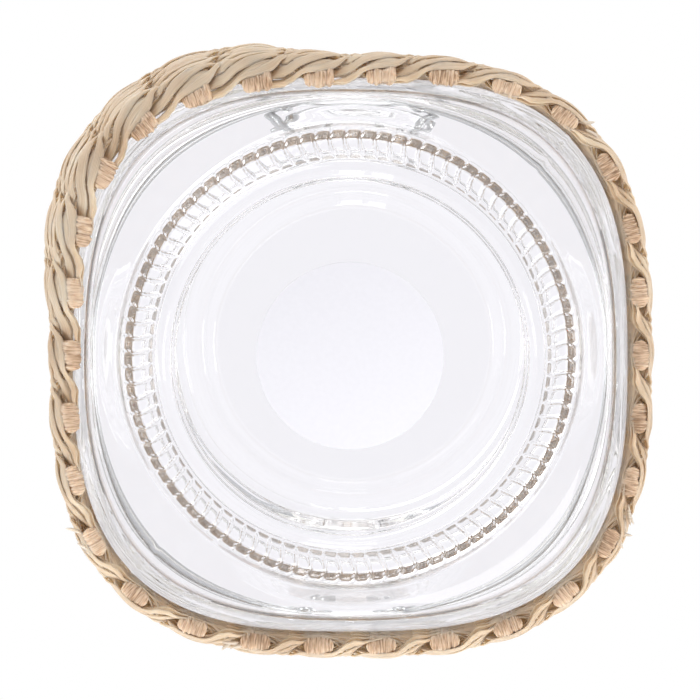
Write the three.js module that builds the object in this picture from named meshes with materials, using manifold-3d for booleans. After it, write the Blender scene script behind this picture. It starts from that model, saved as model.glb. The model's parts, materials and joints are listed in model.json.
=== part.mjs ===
// Square clip-top storage jar of clear glass, dressed in a sleeve of twined plant leaf.
// Millimetres, +Z up. The origin is the middle of the base, on the surface that the jar stands on.
// The latch is at the front, -Y, and the lid's hinge is at the back, +Y.
import * as THREE from "three";
import { mergeVertices } from "three/addons/utils/BufferGeometryUtils.js";
import Module from "manifold-3d";

// Glass body
const BODY_HALF_WIDTH = 62.5; // from the axis to a flat side
const BODY_SQUARENESS = 2.9; // superellipse exponent of the plan, where 2 is a circle
const WALL_TOP = 114; // height at which the shoulder starts
const SHOULDER_HEIGHT = 19;
const GLASS_WALL = 4;
const FLOOR_THICKNESS = 5.2;
const HEEL_HEIGHT = 14; // height at which the heel has rounded into the wall
const INNER_HEEL_HEIGHT = 10; // the same inside, above the floor
const FLOOR_FLAT_RADIUS = 44; // flat part of the floor inside

// Underside: a pushed-up middle, a knurled ring that the jar stands on, and the heel's seam
const PUSH_UP = 1.5;
const STEP_RADIUS = 39.6;
const STEP_DEPTH = 0.15;
const KNURL_COUNT = 90;
const KNURL_INNER_RADIUS = 45;
const KNURL_OUTER_RADIUS = 51.5;
const KNURL_DEPTH = 0.9;
const KNURL_SLANT = 0.35; // sideways lean of a knurl, in knurl spacings
const RING_SHOULDER = 1.3; // how far the ring's two edges stand above its foot
const SEAM_RADIUS = 54.2;
const SEAM_HEIGHT = 1.9;

// Neck and mouth
const MOUTH_RADIUS = 41.5;
const NECK_WALL = 5;
const NECK_HEIGHT = 7; // from the shoulder to the bead
const BEAD_HEIGHT = 6;
const BEAD_DEPTH = 2.3; // how far the bead stands out from the neck
const RIM_HEIGHT = 4; // from the bead to the top of the mouth
const RIM_ROUND = 0.8;

// Lid and its seal
const GASKET_THICKNESS = 2.2;
const GASKET_WIDTH = 5;
const GASKET_INSET = 1.25; // from the mouth's edge to the gasket
const LID_OVERHANG = 1.8; // how far the lid's edge stands out over the neck
const LID_FLANGE = 1.4; // thickness of the lid's edge below the wire groove
const LID_GROOVE_DEPTH = 1.7;
const LID_CROWN = 9.6; // height of the lid above its seat
const PLUG_DEPTH = 4.6;
const PLUG_WALL = 3.5;
const PLUG_CLEARANCE = 1.3;

// Wire fittings
const WIRE = 2.5;
const WIRE_BEND = 2.4; // how far before a corner the wire starts to bend
const HINGE_HALF_SPAN = 9; // from the middle to a hinge eye
const LATCH_HALF_SPAN = 14; // from the middle to an eye that carries the lever
const PIN_OVERHANG = 1.5; // how far a pin reaches past its eye
const LEVER_LENGTH = 27;
const LEVER_STAND_OFF = 6.2; // how far outside the glass the shut lever passes the foot of the shoulder
const LINK_OFFSET = 8; // from the lever's pivot to the link's, along the lever
const LINK_RISE = 2.4; // how far the link's top stands above the lid's nose
const NOSE_HALF_WIDTH = 6.5;
const NOSE_REACH = 7; // how far the nose stands out from the lid's wire
const NOSE_CLEARANCE = 0.8; // between the nose and the link, which stands unhooked

// Woven sleeve
const STAKE_COUNT = 30; // an even number, so that the two strands of a row close on themselves
const STAKE_WIDTH = 6.2;
const STAKE_THICKNESS = 2.6;
const STAKE_FLAT = 1; // width of a stake's thickest part
const FOLD_HEIGHT = 1.2; // rounded fold at a stake's foot
const ROW_PITCH = 11.6;
const SLEEVE_BOTTOM = 4;
const SLEEVE_MARGIN = 5; // wall left bare, at the least, between the sleeve and the shoulder
const FIRST_ROW_RISE = 5.8; // from the stakes' fold to the middle of the lowest row
const LEAF_THICKNESS = 0.9; // of a strand where it lies flat over a stake
const LEAF_HEIGHT = 10.6;
const LEAF_BELLY = 0.7; // how far a strand's middle swells where it passes outside a stake
const CROSSING_THICKNESS = 2.4; // of a strand where it is gathered between two stakes
const CROSSING_HEIGHT = 4;
const CROSSING_RISE = 2.3; // how far the crossing strands stand above and below their row
const LEAN_OUT = 4.6; // how far the sleeve stands off the glass at the corner where it is loose
const LEAN_TURN = 225; // degrees round the jar to the middle of the loose corner
const LEAN_SPREAD = 0.72; // cosine of the angle from there at which the sleeve lies on the glass again
const LEAN_ROWS = [0, 3, 4, 8]; // rows below the start, the full reach, its end and the end of the lean

// Sticker in the pushed-up base, left blank
const LABEL_RADIUS = 21;
const LABEL_THICKNESS = 0.3;

// Clearances
const SEAT_GAP = 0.3; // between pieces that rest on each other
const PIN_CLEARANCE = 0.4; // around a pin in its eye, and beside the eye

// Facets
const PLAN_SIDES = 28;
const WIRE_SIDES = 5;
const EYE_SIDES = 7;
const BEND_STEPS = 2;
const OUTER_STEPS = 4; // levels in the heel, and one more in the shoulder
const INNER_STEPS = 3;

// Places that several pieces share
const shoulderTop = WALL_TOP + SHOULDER_HEIGHT;
const beadBottom = shoulderTop + NECK_HEIGHT;
const mouthTop = beadBottom + BEAD_HEIGHT + RIM_HEIGHT;
const floorTop = PUSH_UP + FLOOR_THICKNESS;
const gasketBottom = mouthTop + SEAT_GAP;
const lidSeat = gasketBottom + GASKET_THICKNESS + SEAT_GAP;
const neckRadius = MOUTH_RADIUS + NECK_WALL;
const lidRadius = neckRadius + LID_OVERHANG;
const lidGrooveRadius = lidRadius - LID_GROOVE_DEPTH;
const wireRadius = WIRE / 2;
const neckWireRadius = neckRadius + SEAT_GAP + wireRadius;
const neckWireHeight = beadBottom - SEAT_GAP - wireRadius;
const lidWireRadius = lidGrooveRadius + SEAT_GAP + wireRadius;
const lidWireHeight = lidSeat + LID_FLANGE + SEAT_GAP + wireRadius;
const eyeRadius = WIRE + PIN_CLEARANCE; // from a pin's axis to the middle of the wire around it
const sideOfEye = wireRadius + PIN_CLEARANCE + WIRE_BEND; // from an eye's middle to the arm beside it
const pinReach = wireRadius + PIN_OVERHANG;

// The pivots lie along X, just outside the neck wire where a pin comes nearest to its middle.
const hingeArm = HINGE_HALF_SPAN - sideOfEye;
const leverArm = LATCH_HALF_SPAN + sideOfEye;
const linkArm = leverArm - sideOfEye;
const outsideNeckWire = (x) => Math.sqrt(neckWireRadius ** 2 - x ** 2) + eyeRadius;
const hingeAxis = { y: outsideNeckWire(hingeArm - wireRadius), z: neckWireHeight };
const leverAxis = { y: -outsideNeckWire(LATCH_HALF_SPAN - pinReach), z: neckWireHeight };
const leverFoot = BODY_HALF_WIDTH + LEVER_STAND_OFF;
const lean = Math.atan2(leverFoot + leverAxis.y, leverAxis.z - WALL_TOP); // from straight down
const alongLever = (distance, above) => ({
  y: leverAxis.y - distance * Math.sin(lean) - above * Math.cos(lean),
  z: leverAxis.z - distance * Math.cos(lean) + above * Math.sin(lean),
});
const linkAxis = alongLever(LINK_OFFSET, eyeRadius);

const wasm = await Module();
wasm.setup();

const point = (x, y, z) => new THREE.Vector3(x, y, z);
const mix = THREE.MathUtils.lerp;

// Joins rings of points, each run counter-clockwise, into one closed skin. A ring of one point is a tip.
function skin(rings, loops = false) {
  const starts = [];
  const vertices = [];
  for (const ring of rings) {
    starts.push(vertices.length);
    vertices.push(...ring);
  }
  const index = [];
  const bands = loops ? rings.length : rings.length - 1;
  for (let band = 0; band < bands; band += 1) {
    const next = (band + 1) % rings.length;
    const countA = rings[band].length;
    const countB = rings[next].length;
    const stepsA = countA === 1 ? 0 : countA;
    const stepsB = countB === 1 ? 0 : countB;
    let a = 0;
    let b = 0;
    while (a < stepsA || b < stepsB) {
      const stepA = b === stepsB || (a < stepsA && (a + 1) * stepsB <= (b + 1) * stepsA);
      const cornerA = starts[band] + (a % countA);
      const cornerB = starts[next] + (b % countB);
      if (stepA) {
        a += 1;
        index.push(cornerA, starts[band] + (a % countA), cornerB);
      } else {
        b += 1;
        index.push(cornerA, starts[next] + (b % countB), cornerB);
      }
    }
  }
  const geometry = new THREE.BufferGeometry().setFromPoints(vertices);
  geometry.setIndex(index);
  return geometry;
}

// One level of a rounded-square plan: a superellipse, or a circle where squareness is 2.
function planRing(halfWidth, squareness, z, sides = PLAN_SIDES) {
  const power = 2 / squareness;
  return Array.from({ length: sides }, (_, i) => {
    const turn = (i / sides) * 2 * Math.PI;
    const c = Math.cos(turn);
    const s = Math.sin(turn);
    const x = Math.sign(c) * Math.abs(c) ** power;
    const y = Math.sign(s) * Math.abs(s) ** power;
    return point(halfWidth * x, halfWidth * y, z);
  });
}

const circle = (radius, z, sides) => planRing(radius, 2, z, sides);

// Quarter-round from a flat ring to the upright wall, while the plan turns from round to square.
function heelRings(steps, fromRadius, fromZ, toHalfWidth, toZ) {
  return Array.from({ length: steps }, (_, i) => {
    const share = (i + 1) / steps;
    const turn = share * (Math.PI / 2);
    const half = mix(fromRadius, toHalfWidth, Math.sin(turn));
    const z = mix(fromZ, toZ, 1 - Math.cos(turn));
    return planRing(half, mix(2, BODY_SQUARENESS, share), z);
  });
}

// S-curve from the square wall in to the round neck.
function shoulderRings(steps, fromHalfWidth, fromZ, toRadius, toZ) {
  return Array.from({ length: steps + 1 }, (_, i) => {
    const share = i / steps;
    const half = mix(fromHalfWidth, toRadius, THREE.MathUtils.smoothstep(share, 0, 1));
    return planRing(half, mix(BODY_SQUARENESS, 2, share), mix(fromZ, toZ, share));
  });
}

// The ring that the jar stands on. Each knurl is a flat tooth that starts as a point at the ring's
// inner edge and widens outwards, with a groove between it and the next.
function knurlRings() {
  const spacing = (2 * Math.PI) / KNURL_COUNT;
  const at = (radius, turn, z) => point(radius * Math.cos(turn), radius * Math.sin(turn), z);
  const tips = [];
  const teeth = [];
  for (let k = 0; k < KNURL_COUNT; k += 1) {
    tips.push(at(KNURL_INNER_RADIUS, k * spacing, 0));
    const leant = (k + KNURL_SLANT) * spacing;
    teeth.push(at(KNURL_OUTER_RADIUS, leant - spacing / 4, 0));
    teeth.push(at(KNURL_OUTER_RADIUS, leant + spacing / 4, 0));
    teeth.push(at(KNURL_OUTER_RADIUS, leant + spacing / 2, KNURL_DEPTH));
  }
  return [
    circle(KNURL_INNER_RADIUS - RING_SHOULDER, RING_SHOULDER, KNURL_COUNT / 2),
    tips,
    teeth,
    circle(KNURL_OUTER_RADIUS + RING_SHOULDER, RING_SHOULDER, KNURL_COUNT / 2),
  ];
}

function glassJar() {
  const innerHalf = BODY_HALF_WIDTH - GLASS_WALL;
  const innerHeelTop = floorTop + INNER_HEEL_HEIGHT;
  const beadTop = beadBottom + BEAD_HEIGHT;
  const beadRadius = neckRadius + BEAD_DEPTH;
  return skin([
    [point(0, 0, PUSH_UP)],
    circle(STEP_RADIUS, PUSH_UP),
    circle(STEP_RADIUS + STEP_DEPTH, PUSH_UP - STEP_DEPTH),
    ...knurlRings(),
    circle(SEAM_RADIUS, SEAM_HEIGHT),
    ...heelRings(OUTER_STEPS, SEAM_RADIUS, SEAM_HEIGHT, BODY_HALF_WIDTH, HEEL_HEIGHT),
    ...shoulderRings(OUTER_STEPS + 1, BODY_HALF_WIDTH, WALL_TOP, neckRadius, shoulderTop),
    circle(neckRadius, beadBottom),
    circle(beadRadius, beadBottom + BEAD_HEIGHT / 3),
    circle(beadRadius, beadTop - BEAD_HEIGHT / 4),
    circle(neckRadius, beadTop),
    circle(neckRadius, mouthTop - RIM_ROUND),
    circle(neckRadius - RIM_ROUND, mouthTop),
    circle(MOUTH_RADIUS + RIM_ROUND, mouthTop),
    circle(MOUTH_RADIUS, mouthTop - RIM_ROUND),
    ...shoulderRings(INNER_STEPS + 1, innerHalf, WALL_TOP, MOUTH_RADIUS, shoulderTop).reverse(),
    ...heelRings(INNER_STEPS, FLOOR_FLAT_RADIUS, floorTop, innerHalf, innerHeelTop).reverse(),
    circle(FLOOR_FLAT_RADIUS, floorTop),
    [point(0, 0, floorTop)],
  ]);
}

// A solid of revolution about Z, from a list of [radius, height].
function revolve(outline) {
  const profile = outline.map(([radius, height]) => new THREE.Vector2(radius, height));
  return new THREE.LatheGeometry(profile, PLAN_SIDES).rotateX(Math.PI / 2);
}

function glassLid() {
  const plugRadius = MOUTH_RADIUS - PLUG_CLEARANCE;
  const plugBottom = lidSeat - PLUG_DEPTH;
  const grooveBottom = lidSeat + LID_FLANGE;
  const grooveTop = grooveBottom + WIRE + 2 * SEAT_GAP;
  const top = lidSeat + LID_CROWN;
  return revolve([
    [0, lidSeat],
    [plugRadius - 2 * PLUG_WALL, lidSeat - PLUG_DEPTH / 4],
    [plugRadius - PLUG_WALL, plugBottom],
    [plugRadius, plugBottom],
    [plugRadius, lidSeat],
    [lidRadius, lidSeat],
    [lidRadius, grooveBottom],
    [lidGrooveRadius, grooveBottom],
    [lidGrooveRadius, grooveTop],
    [lidRadius - LID_FLANGE / 2, grooveTop + LID_FLANGE / 2],
    [lidGrooveRadius - LID_FLANGE, mix(grooveTop, top, 0.6)],
    [lidGrooveRadius / 2, top - LID_FLANGE / 3],
    [0, top],
  ]);
}

function lidGasket() {
  const inner = MOUTH_RADIUS + GASKET_INSET;
  const outer = inner + GASKET_WIDTH;
  const top = gasketBottom + GASKET_THICKNESS;
  return revolve([
    [inner, gasketBottom],
    [outer, gasketBottom],
    [outer, top],
    [inner, top],
    [inner, gasketBottom],
  ]);
}

function baseLabel() {
  const middle = PUSH_UP - SEAT_GAP - LABEL_THICKNESS / 2;
  const disc = new THREE.CylinderGeometry(LABEL_RADIUS, LABEL_RADIUS, LABEL_THICKNESS, PLAN_SIDES);
  return disc.rotateX(Math.PI / 2).translate(0, 0, middle);
}

// A run of wire through the given points, each inner corner rounded by the bend.
function bentWire(corners, bend = WIRE_BEND) {
  const path = [corners[0]];
  for (let i = 1; i + 1 < corners.length; i += 1) {
    const corner = corners[i];
    const before = corners[i - 1].clone().sub(corner);
    const after = corners[i + 1].clone().sub(corner);
    const reach = Math.min(bend, before.length() / 2, after.length() / 2);
    const from = corner.clone().addScaledVector(before.normalize(), reach);
    const to = corner.clone().addScaledVector(after.normalize(), reach);
    const curve = new THREE.QuadraticBezierCurve3(from, corner, to);
    path.push(...curve.getPoints(BEND_STEPS));
  }
  path.push(corners.at(-1));
  return path;
}

// Round wire along a path of points, closed at both ends.
function wireAlong(path) {
  const directions = path.map((_, i) => {
    const from = path[Math.max(i - 1, 0)];
    const to = path[Math.min(i + 1, path.length - 1)];
    return to.clone().sub(from).normalize();
  });
  const side = point(0, 0, 1).cross(directions[0]);
  if (side.length() < 0.1) side.set(1, 0, 0);
  side.normalize();
  const rings = path.map((centre, i) => {
    if (i > 0) {
      side.applyQuaternion(new THREE.Quaternion().setFromUnitVectors(directions[i - 1], directions[i]));
    }
    const up = directions[i].clone().cross(side);
    return Array.from({ length: WIRE_SIDES }, (_, k) => {
      const turn = (k / WIRE_SIDES) * 2 * Math.PI;
      const across = side.clone().multiplyScalar(wireRadius * Math.cos(turn));
      return across.addScaledVector(up, wireRadius * Math.sin(turn)).add(centre);
    });
  });
  return skin([[path[0]], ...rings, [path.at(-1)]]);
}

// A closed eye of wire around a pin that lies along X.
function eyeAround(x, axis) {
  const eye = new THREE.TorusGeometry(eyeRadius, wireRadius, WIRE_SIDES, EYE_SIDES);
  return eye.rotateY(Math.PI / 2).translate(x, axis.y, axis.z);
}

function solidOf(geometry) {
  const bare = geometry.clone();
  bare.deleteAttribute("normal");
  bare.deleteAttribute("uv");
  const merged = mergeVertices(bare);
  return new wasm.Manifold(
    new wasm.Mesh({
      numProp: 3,
      vertProperties: new Float32Array(merged.attributes.position.array),
      triVerts: new Uint32Array(merged.index.array),
    }),
  );
}

// Several overlapping pieces as one solid.
function joined(geometries) {
  const whole = geometries.map(solidOf).reduce((sum, next) => sum.add(next));
  const mesh = whole.getMesh();
  const geometry = new THREE.BufferGeometry();
  geometry.setAttribute("position", new THREE.BufferAttribute(mesh.vertProperties, 3));
  geometry.setIndex(new THREE.BufferAttribute(mesh.triVerts, 1));
  return geometry;
}

// The path of the right half, then the same mirrored back to the left.
const mirrored = (half) => [...half, ...half.map((p) => point(-p.x, p.y, p.z)).reverse()];

function neckWire() {
  const ring = new THREE.TorusGeometry(neckWireRadius, wireRadius, WIRE_SIDES, PLAN_SIDES);
  ring.translate(0, 0, neckWireHeight);
  return joined([
    ring,
    eyeAround(HINGE_HALF_SPAN, hingeAxis),
    eyeAround(-HINGE_HALF_SPAN, hingeAxis),
    eyeAround(LATCH_HALF_SPAN, leverAxis),
    eyeAround(-LATCH_HALF_SPAN, leverAxis),
  ]);
}

// One wire: a pin in each hinge eye, up the back, round the lid's groove, and a nose at the front.
function lidWire() {
  const noseY = -(lidWireRadius + NOSE_REACH);
  const rootX = NOSE_HALF_WIDTH + WIRE_BEND;
  const backTurn = Math.asin(Math.min(1, (hingeArm + 2 * WIRE_BEND) / lidWireRadius));
  const frontTurn = Math.PI - Math.asin(rootX / lidWireRadius);
  const arcSteps = PLAN_SIDES / 2 - 3;
  const arc = Array.from({ length: arcSteps + 1 }, (_, i) => {
    const turn = mix(backTurn, frontTurn, i / arcSteps);
    return point(lidWireRadius * Math.sin(turn), lidWireRadius * Math.cos(turn), lidWireHeight);
  });
  const back = bentWire([
    point(HINGE_HALF_SPAN + pinReach, hingeAxis.y, hingeAxis.z),
    point(hingeArm, hingeAxis.y, hingeAxis.z),
    point(hingeArm, hingeAxis.y, lidWireHeight),
    arc[0],
  ]);
  const front = bentWire([
    arc.at(-1),
    point(NOSE_HALF_WIDTH, noseY, lidWireHeight),
    point(0, noseY, lidWireHeight),
  ]);
  const half = [...back, ...arc.slice(1, -1), ...front.slice(0, -1)];
  return wireAlong(mirrored(half));
}

function latchLever() {
  const end = alongLever(LEVER_LENGTH, 0);
  const corners = mirrored([
    point(LATCH_HALF_SPAN - pinReach, leverAxis.y, leverAxis.z),
    point(leverArm, leverAxis.y, leverAxis.z),
    point(leverArm, end.y, end.z),
  ]);
  return joined([
    wireAlong(bentWire(corners)),
    eyeAround(leverArm, linkAxis),
    eyeAround(-leverArm, linkAxis),
  ]);
}

function latchLink() {
  const topY = -(lidWireRadius + NOSE_REACH + WIRE + NOSE_CLEARANCE);
  const corners = mirrored([
    point(leverArm + pinReach, linkAxis.y, linkAxis.z),
    point(linkArm, linkAxis.y, linkAxis.z),
    point(linkArm, topY, lidWireHeight + LINK_RISE),
  ]);
  return wireAlong(bentWire(corners));
}

// Evenly spaced places along the glass wall's plan, each with the direction that faces outwards.
function wallPlaces(count) {
  const samples = planRing(BODY_HALF_WIDTH, BODY_SQUARENESS, 0, 40 * count);
  const outline = new THREE.CurvePath();
  samples.forEach((from, i) => {
    outline.add(new THREE.LineCurve3(from, samples[(i + 1) % samples.length]));
  });
  const pull = (v) => Math.sign(v) * Math.abs(v) ** (BODY_SQUARENESS - 1);
  return Array.from({ length: count }, (_, i) => {
    const place = outline.getPointAt(i / count);
    return { place, outward: point(pull(place.x), pull(place.y), 0).normalize() };
  });
}

const leafOffset = STAKE_THICKNESS / 2 + SEAT_GAP + LEAF_THICKNESS / 2;
const sleeveMiddle = SEAT_GAP + leafOffset + LEAF_THICKNESS / 2; // out from the glass wall
const rowHeight = (row) => SLEEVE_BOTTOM + FIRST_ROW_RISE + row * ROW_PITCH;
const rowCount = Math.floor((WALL_TOP - SLEEVE_BOTTOM - SLEEVE_MARGIN) / ROW_PITCH);
const places = wallPlaces(2 * STAKE_COUNT); // the stakes, and the crossings between them

const { clamp, smoothstep } = THREE.MathUtils;
const leanHeights = LEAN_ROWS.map((row) => SLEEVE_BOTTOM + row * ROW_PITCH);
const leanTurn = THREE.MathUtils.degToRad(LEAN_TURN);
const looseCorner = point(Math.cos(leanTurn), Math.sin(leanTurn), 0);

// How far the sleeve stands off the glass at a place and height. It has straight slopes, so that the
// strands and the stakes, which have points at different heights, keep their distance.
function leanOut(place, z) {
  const facing = place.clone().normalize().dot(looseCorner);
  const [start, full, held, end] = leanHeights;
  const rising = clamp((z - start) / (full - start), 0, 1);
  const falling = clamp((end - z) / (end - held), 0, 1);
  return LEAN_OUT * smoothstep(facing, LEAN_SPREAD, 1) * Math.min(rising, falling);
}

const onSleeve = ({ place, outward }, offset, z) =>
  place.clone().addScaledVector(outward, sleeveMiddle + offset + leanOut(place, z)).setZ(z);

// One of a row's two strands. It passes outside one stake and inside the next, and at each crossing
// between them it is gathered and lies above or below the row's other strand.
function weftStrand(row, strand) {
  const sections = places.map((spot, i) => {
    const stake = Math.floor(i / 2);
    const side = (stake + row + strand) % 2 === 0 ? 1 : -1;
    const crossing = i % 2 === 1;
    const offset = crossing ? 0 : side * leafOffset;
    const z = rowHeight(row) + (crossing ? side * CROSSING_RISE : 0);
    const halfThickness = (crossing ? CROSSING_THICKNESS : LEAF_THICKNESS) / 2;
    const halfHeight = (crossing ? CROSSING_HEIGHT : LEAF_HEIGHT) / 2;
    const belly = !crossing && side > 0 ? LEAF_BELLY : 0;
    return [
      onSleeve(spot, offset + halfThickness + belly, z),
      onSleeve(spot, offset, z - halfHeight),
      onSleeve(spot, offset - halfThickness, z),
      onSleeve(spot, offset, z + halfHeight),
    ];
  });
  return skin(sections, true);
}

// A doubled leaf that stands in the eyes of the rows, with its fold at the foot.
function stake(number) {
  const spot = places[2 * number];
  const before = places.at(2 * number - 1);
  const after = places[2 * number + 1];
  const top = rowHeight(rowCount - 1) + LEAF_HEIGHT / 2;
  const section = (z, fullness) => {
    const thick = (STAKE_THICKNESS / 2) * fullness;
    const sideways = onSleeve(after, 0, z).sub(onSleeve(before, 0, z)).normalize();
    const outward = point(sideways.y, -sideways.x, 0);
    const outline = [
      [-STAKE_WIDTH / 2, 0],
      [-STAKE_FLAT / 2, thick],
      [STAKE_FLAT / 2, thick],
      [STAKE_WIDTH / 2, 0],
      [STAKE_FLAT / 2, -thick],
      [-STAKE_FLAT / 2, -thick],
    ];
    return outline.map(([along, out]) =>
      onSleeve(spot, 0, z).addScaledVector(sideways, along).addScaledVector(outward, out),
    );
  };
  const bends = leanHeights.slice(1).filter((z) => z < top && leanOut(spot.place, leanHeights[1]) > 0);
  return skin([
    [onSleeve(spot, 0, SLEEVE_BOTTOM)],
    section(SLEEVE_BOTTOM + FOLD_HEIGHT / 4, 0.6),
    section(SLEEVE_BOTTOM + FOLD_HEIGHT, 1),
    ...bends.map((z) => section(z, 1)),
    section(top, 1),
    [onSleeve(spot, 0, top)],
  ]);
}

const glassLook = { color: 0xf2f5f6, roughness: 0.03, metalness: 0, transparent: true, opacity: 0.35 };
const sealLook = { color: 0xf0eee8, roughness: 0.45, metalness: 0 };
const wireLook = { color: 0xc9ccce, roughness: 0.25, metalness: 1 };
const leafLook = { color: 0xc9ad85, roughness: 0.7, metalness: 0 };
const stakeLook = { color: 0xc79f7c, roughness: 0.75, metalness: 0 };
const paperLook = { color: 0xfafafa, roughness: 0.6, metalness: 0 };

const jar = new THREE.Group();
function add(name, geometry, look) {
  const mesh = new THREE.Mesh(geometry, new THREE.MeshStandardMaterial(look));
  mesh.name = name;
  jar.add(mesh);
}

add("glass_jar", glassJar(), glassLook);
add("glass_lid", glassLid(), glassLook);
add("lid_gasket", lidGasket(), sealLook);
add("base_label", baseLabel(), paperLook);
add("neck_wire", neckWire(), wireLook);
add("lid_wire", lidWire(), wireLook);
add("latch_lever", latchLever(), wireLook);
add("latch_link", latchLink(), wireLook);
const twoDigits = (number) => String(number).padStart(2, "0");
for (let number = 0; number < STAKE_COUNT; number += 1) {
  add(`stake_${twoDigits(number + 1)}`, stake(number), stakeLook);
}
for (let row = 0; row < rowCount; row += 1) {
  add(`weft_${twoDigits(row + 1)}_a`, weftStrand(row, 0), leafLook);
  add(`weft_${twoDigits(row + 1)}_b`, weftStrand(row, 1), leafLook);
}

export default jar;
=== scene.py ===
# %% [markdown]
# # A clip-top glass jar in a twined leaf sleeve
# The real jar is pressed glass, shut by a glass lid with a seal and a wire latch, and it wears a sleeve
# that was twined by hand from dry leaf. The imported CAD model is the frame: each piece below is made in
# metres, in its place, and takes over from the CAD solid that it shows.

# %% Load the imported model
import json
import math

import bmesh
import bpy
from mathutils import Matrix, Vector, noise


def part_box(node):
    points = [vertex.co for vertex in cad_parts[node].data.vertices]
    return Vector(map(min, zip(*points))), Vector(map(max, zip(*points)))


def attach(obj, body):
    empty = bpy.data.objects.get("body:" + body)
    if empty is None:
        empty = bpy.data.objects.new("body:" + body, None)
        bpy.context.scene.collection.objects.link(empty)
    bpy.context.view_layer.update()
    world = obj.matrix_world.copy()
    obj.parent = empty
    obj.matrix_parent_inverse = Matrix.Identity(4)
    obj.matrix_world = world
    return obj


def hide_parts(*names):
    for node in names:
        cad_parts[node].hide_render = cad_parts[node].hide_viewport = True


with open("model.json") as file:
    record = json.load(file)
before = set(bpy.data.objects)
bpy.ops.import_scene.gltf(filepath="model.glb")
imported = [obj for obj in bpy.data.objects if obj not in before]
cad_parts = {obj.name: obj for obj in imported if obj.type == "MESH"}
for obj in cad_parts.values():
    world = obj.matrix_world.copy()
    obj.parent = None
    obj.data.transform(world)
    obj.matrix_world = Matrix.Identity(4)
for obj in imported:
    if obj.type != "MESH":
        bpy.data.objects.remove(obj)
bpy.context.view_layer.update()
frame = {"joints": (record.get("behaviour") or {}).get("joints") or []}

# %% [markdown]
# ## Small helpers
# A few helpers serve the whole lesson. One turns a written colour into the linear light that shaders
# count in. One adds a node, sets it up and links it. Three turn rings of points into a closed mesh whose
# faces point outwards. The last one shows a finished mesh as a piece: it gives it a finish, ties it to
# the body that carries it and hides the CAD solid that it stands for.

# %% Colours and nodes
def linear(colour):
    """An sRGB hex colour as linear red, green, blue and a full alpha."""
    shares = [int(colour[i : i + 2], 16) / 255 for i in (1, 3, 5)]
    return tuple(s / 12.92 if s <= 0.04045 else ((s + 0.055) / 1.055) ** 2.4 for s in shares) + (1.0,)


def add(tree, kind, inputs=None, **settings):
    """Adds a node. An input is a plain value, a socket to link, or a node whose first output is linked."""
    node = tree.nodes.new(kind)
    for setting, value in settings.items():
        setattr(node, setting, value)
    for key, value in (inputs or {}).items():
        if isinstance(value, bpy.types.Node):
            value = value.outputs[0]
        if isinstance(value, bpy.types.NodeSocket):
            tree.links.new(value, node.inputs[key])
        else:
            node.inputs[key].default_value = value
    return node


MATH = "ShaderNodeMath"
VECTOR_MATH = "ShaderNodeVectorMath"

# %% Meshes and pieces
def skin(rings, loops=False):
    """Joins rings of points into one skin. A ring of one point is a tip, and counts may be multiples."""
    starts, vertices, faces = [], [], []
    for ring in rings:
        starts.append(len(vertices))
        vertices.extend(ring)
    for band in range(len(rings) if loops else len(rings) - 1):
        after = (band + 1) % len(rings)
        near, far = len(rings[band]), len(rings[after])
        steps = min(near, far) if min(near, far) > 1 else max(near, far)
        for i in range(steps):
            here = [starts[band] + k % near for k in range(i * near // steps, (i + 1) * near // steps + 1)]
            there = [starts[after] + k % far for k in range(i * far // steps, (i + 1) * far // steps + 1)]
            faces.append(list(dict.fromkeys(here + there[::-1])))
    return vertices, faces


def face_outwards(mesh):
    """Turns every face of a closed mesh to the outside."""
    shell = bmesh.new()
    shell.from_mesh(mesh)
    bmesh.ops.recalc_face_normals(shell, faces=shell.faces)
    shell.to_mesh(mesh)
    shell.free()


def solid_mesh(name, vertices, faces):
    """A smooth closed mesh."""
    mesh = bpy.data.meshes.new(name)
    mesh.from_pydata(vertices, [], faces)
    face_outwards(mesh)
    mesh.shade_smooth()
    return mesh


def place(mesh, finish, body, slot, *nodes):
    """Shows a finished mesh as a piece of the jar."""
    shown = bpy.data.objects.new(mesh.name, mesh)
    bpy.context.collection.objects.link(shown)
    mesh.materials.clear()
    mesh.materials.append(finish)
    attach(shown, body)
    if nodes:
        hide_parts(*nodes)
    triangles = sum(len(face.vertices) - 2 for face in mesh.polygons)
    print(f"{shown.name}: {triangles} triangles on {body}")


# %% [markdown]
# ## The camera
# The photograph looks straight up at the underside. The camera therefore stands below the jar, far
# enough away for a long lens, with the top of the picture towards the latch. The lens follows from the
# real width that the picture takes in.

# %% Camera below the jar
IMAGE_PIXELS = 700
METRES_PER_PIXEL = 0.000224  # on the plane that the jar stands on
CAMERA_AT = Vector((0.0067, -0.038, -2.0))
AIM = Vector((0.0, -0.0013, 0.0))
PICTURE_TOP = Vector((0.0, -1.0, 0.0))
GLASS_BOUNCES = 32  # light runs up inside the glass wall by many reflections

scene = bpy.context.scene
scene.view_settings.view_transform = "Standard"
scene.cycles.max_bounces = GLASS_BOUNCES
scene.cycles.glossy_bounces = GLASS_BOUNCES
scene.cycles.transmission_bounces = GLASS_BOUNCES
lens = bpy.data.cameras.new("underside_camera")
lens.sensor_width = 36.0
lens.lens = lens.sensor_width * (AIM - CAMERA_AT).length / (IMAGE_PIXELS * METRES_PER_PIXEL)
lens.clip_start, lens.clip_end = 0.1, 20.0
camera = bpy.data.objects.new("underside_camera", lens)
bpy.context.collection.objects.link(camera)
back = (CAMERA_AT - AIM).normalized()
right = PICTURE_TOP.cross(back).normalized()
turned = Matrix((right, back.cross(right), back)).transposed()
camera.matrix_world = Matrix.Translation(CAMERA_AT) @ turned.to_4x4()
scene.camera = camera
print("lens", round(lens.lens, 1), "mm")

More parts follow.
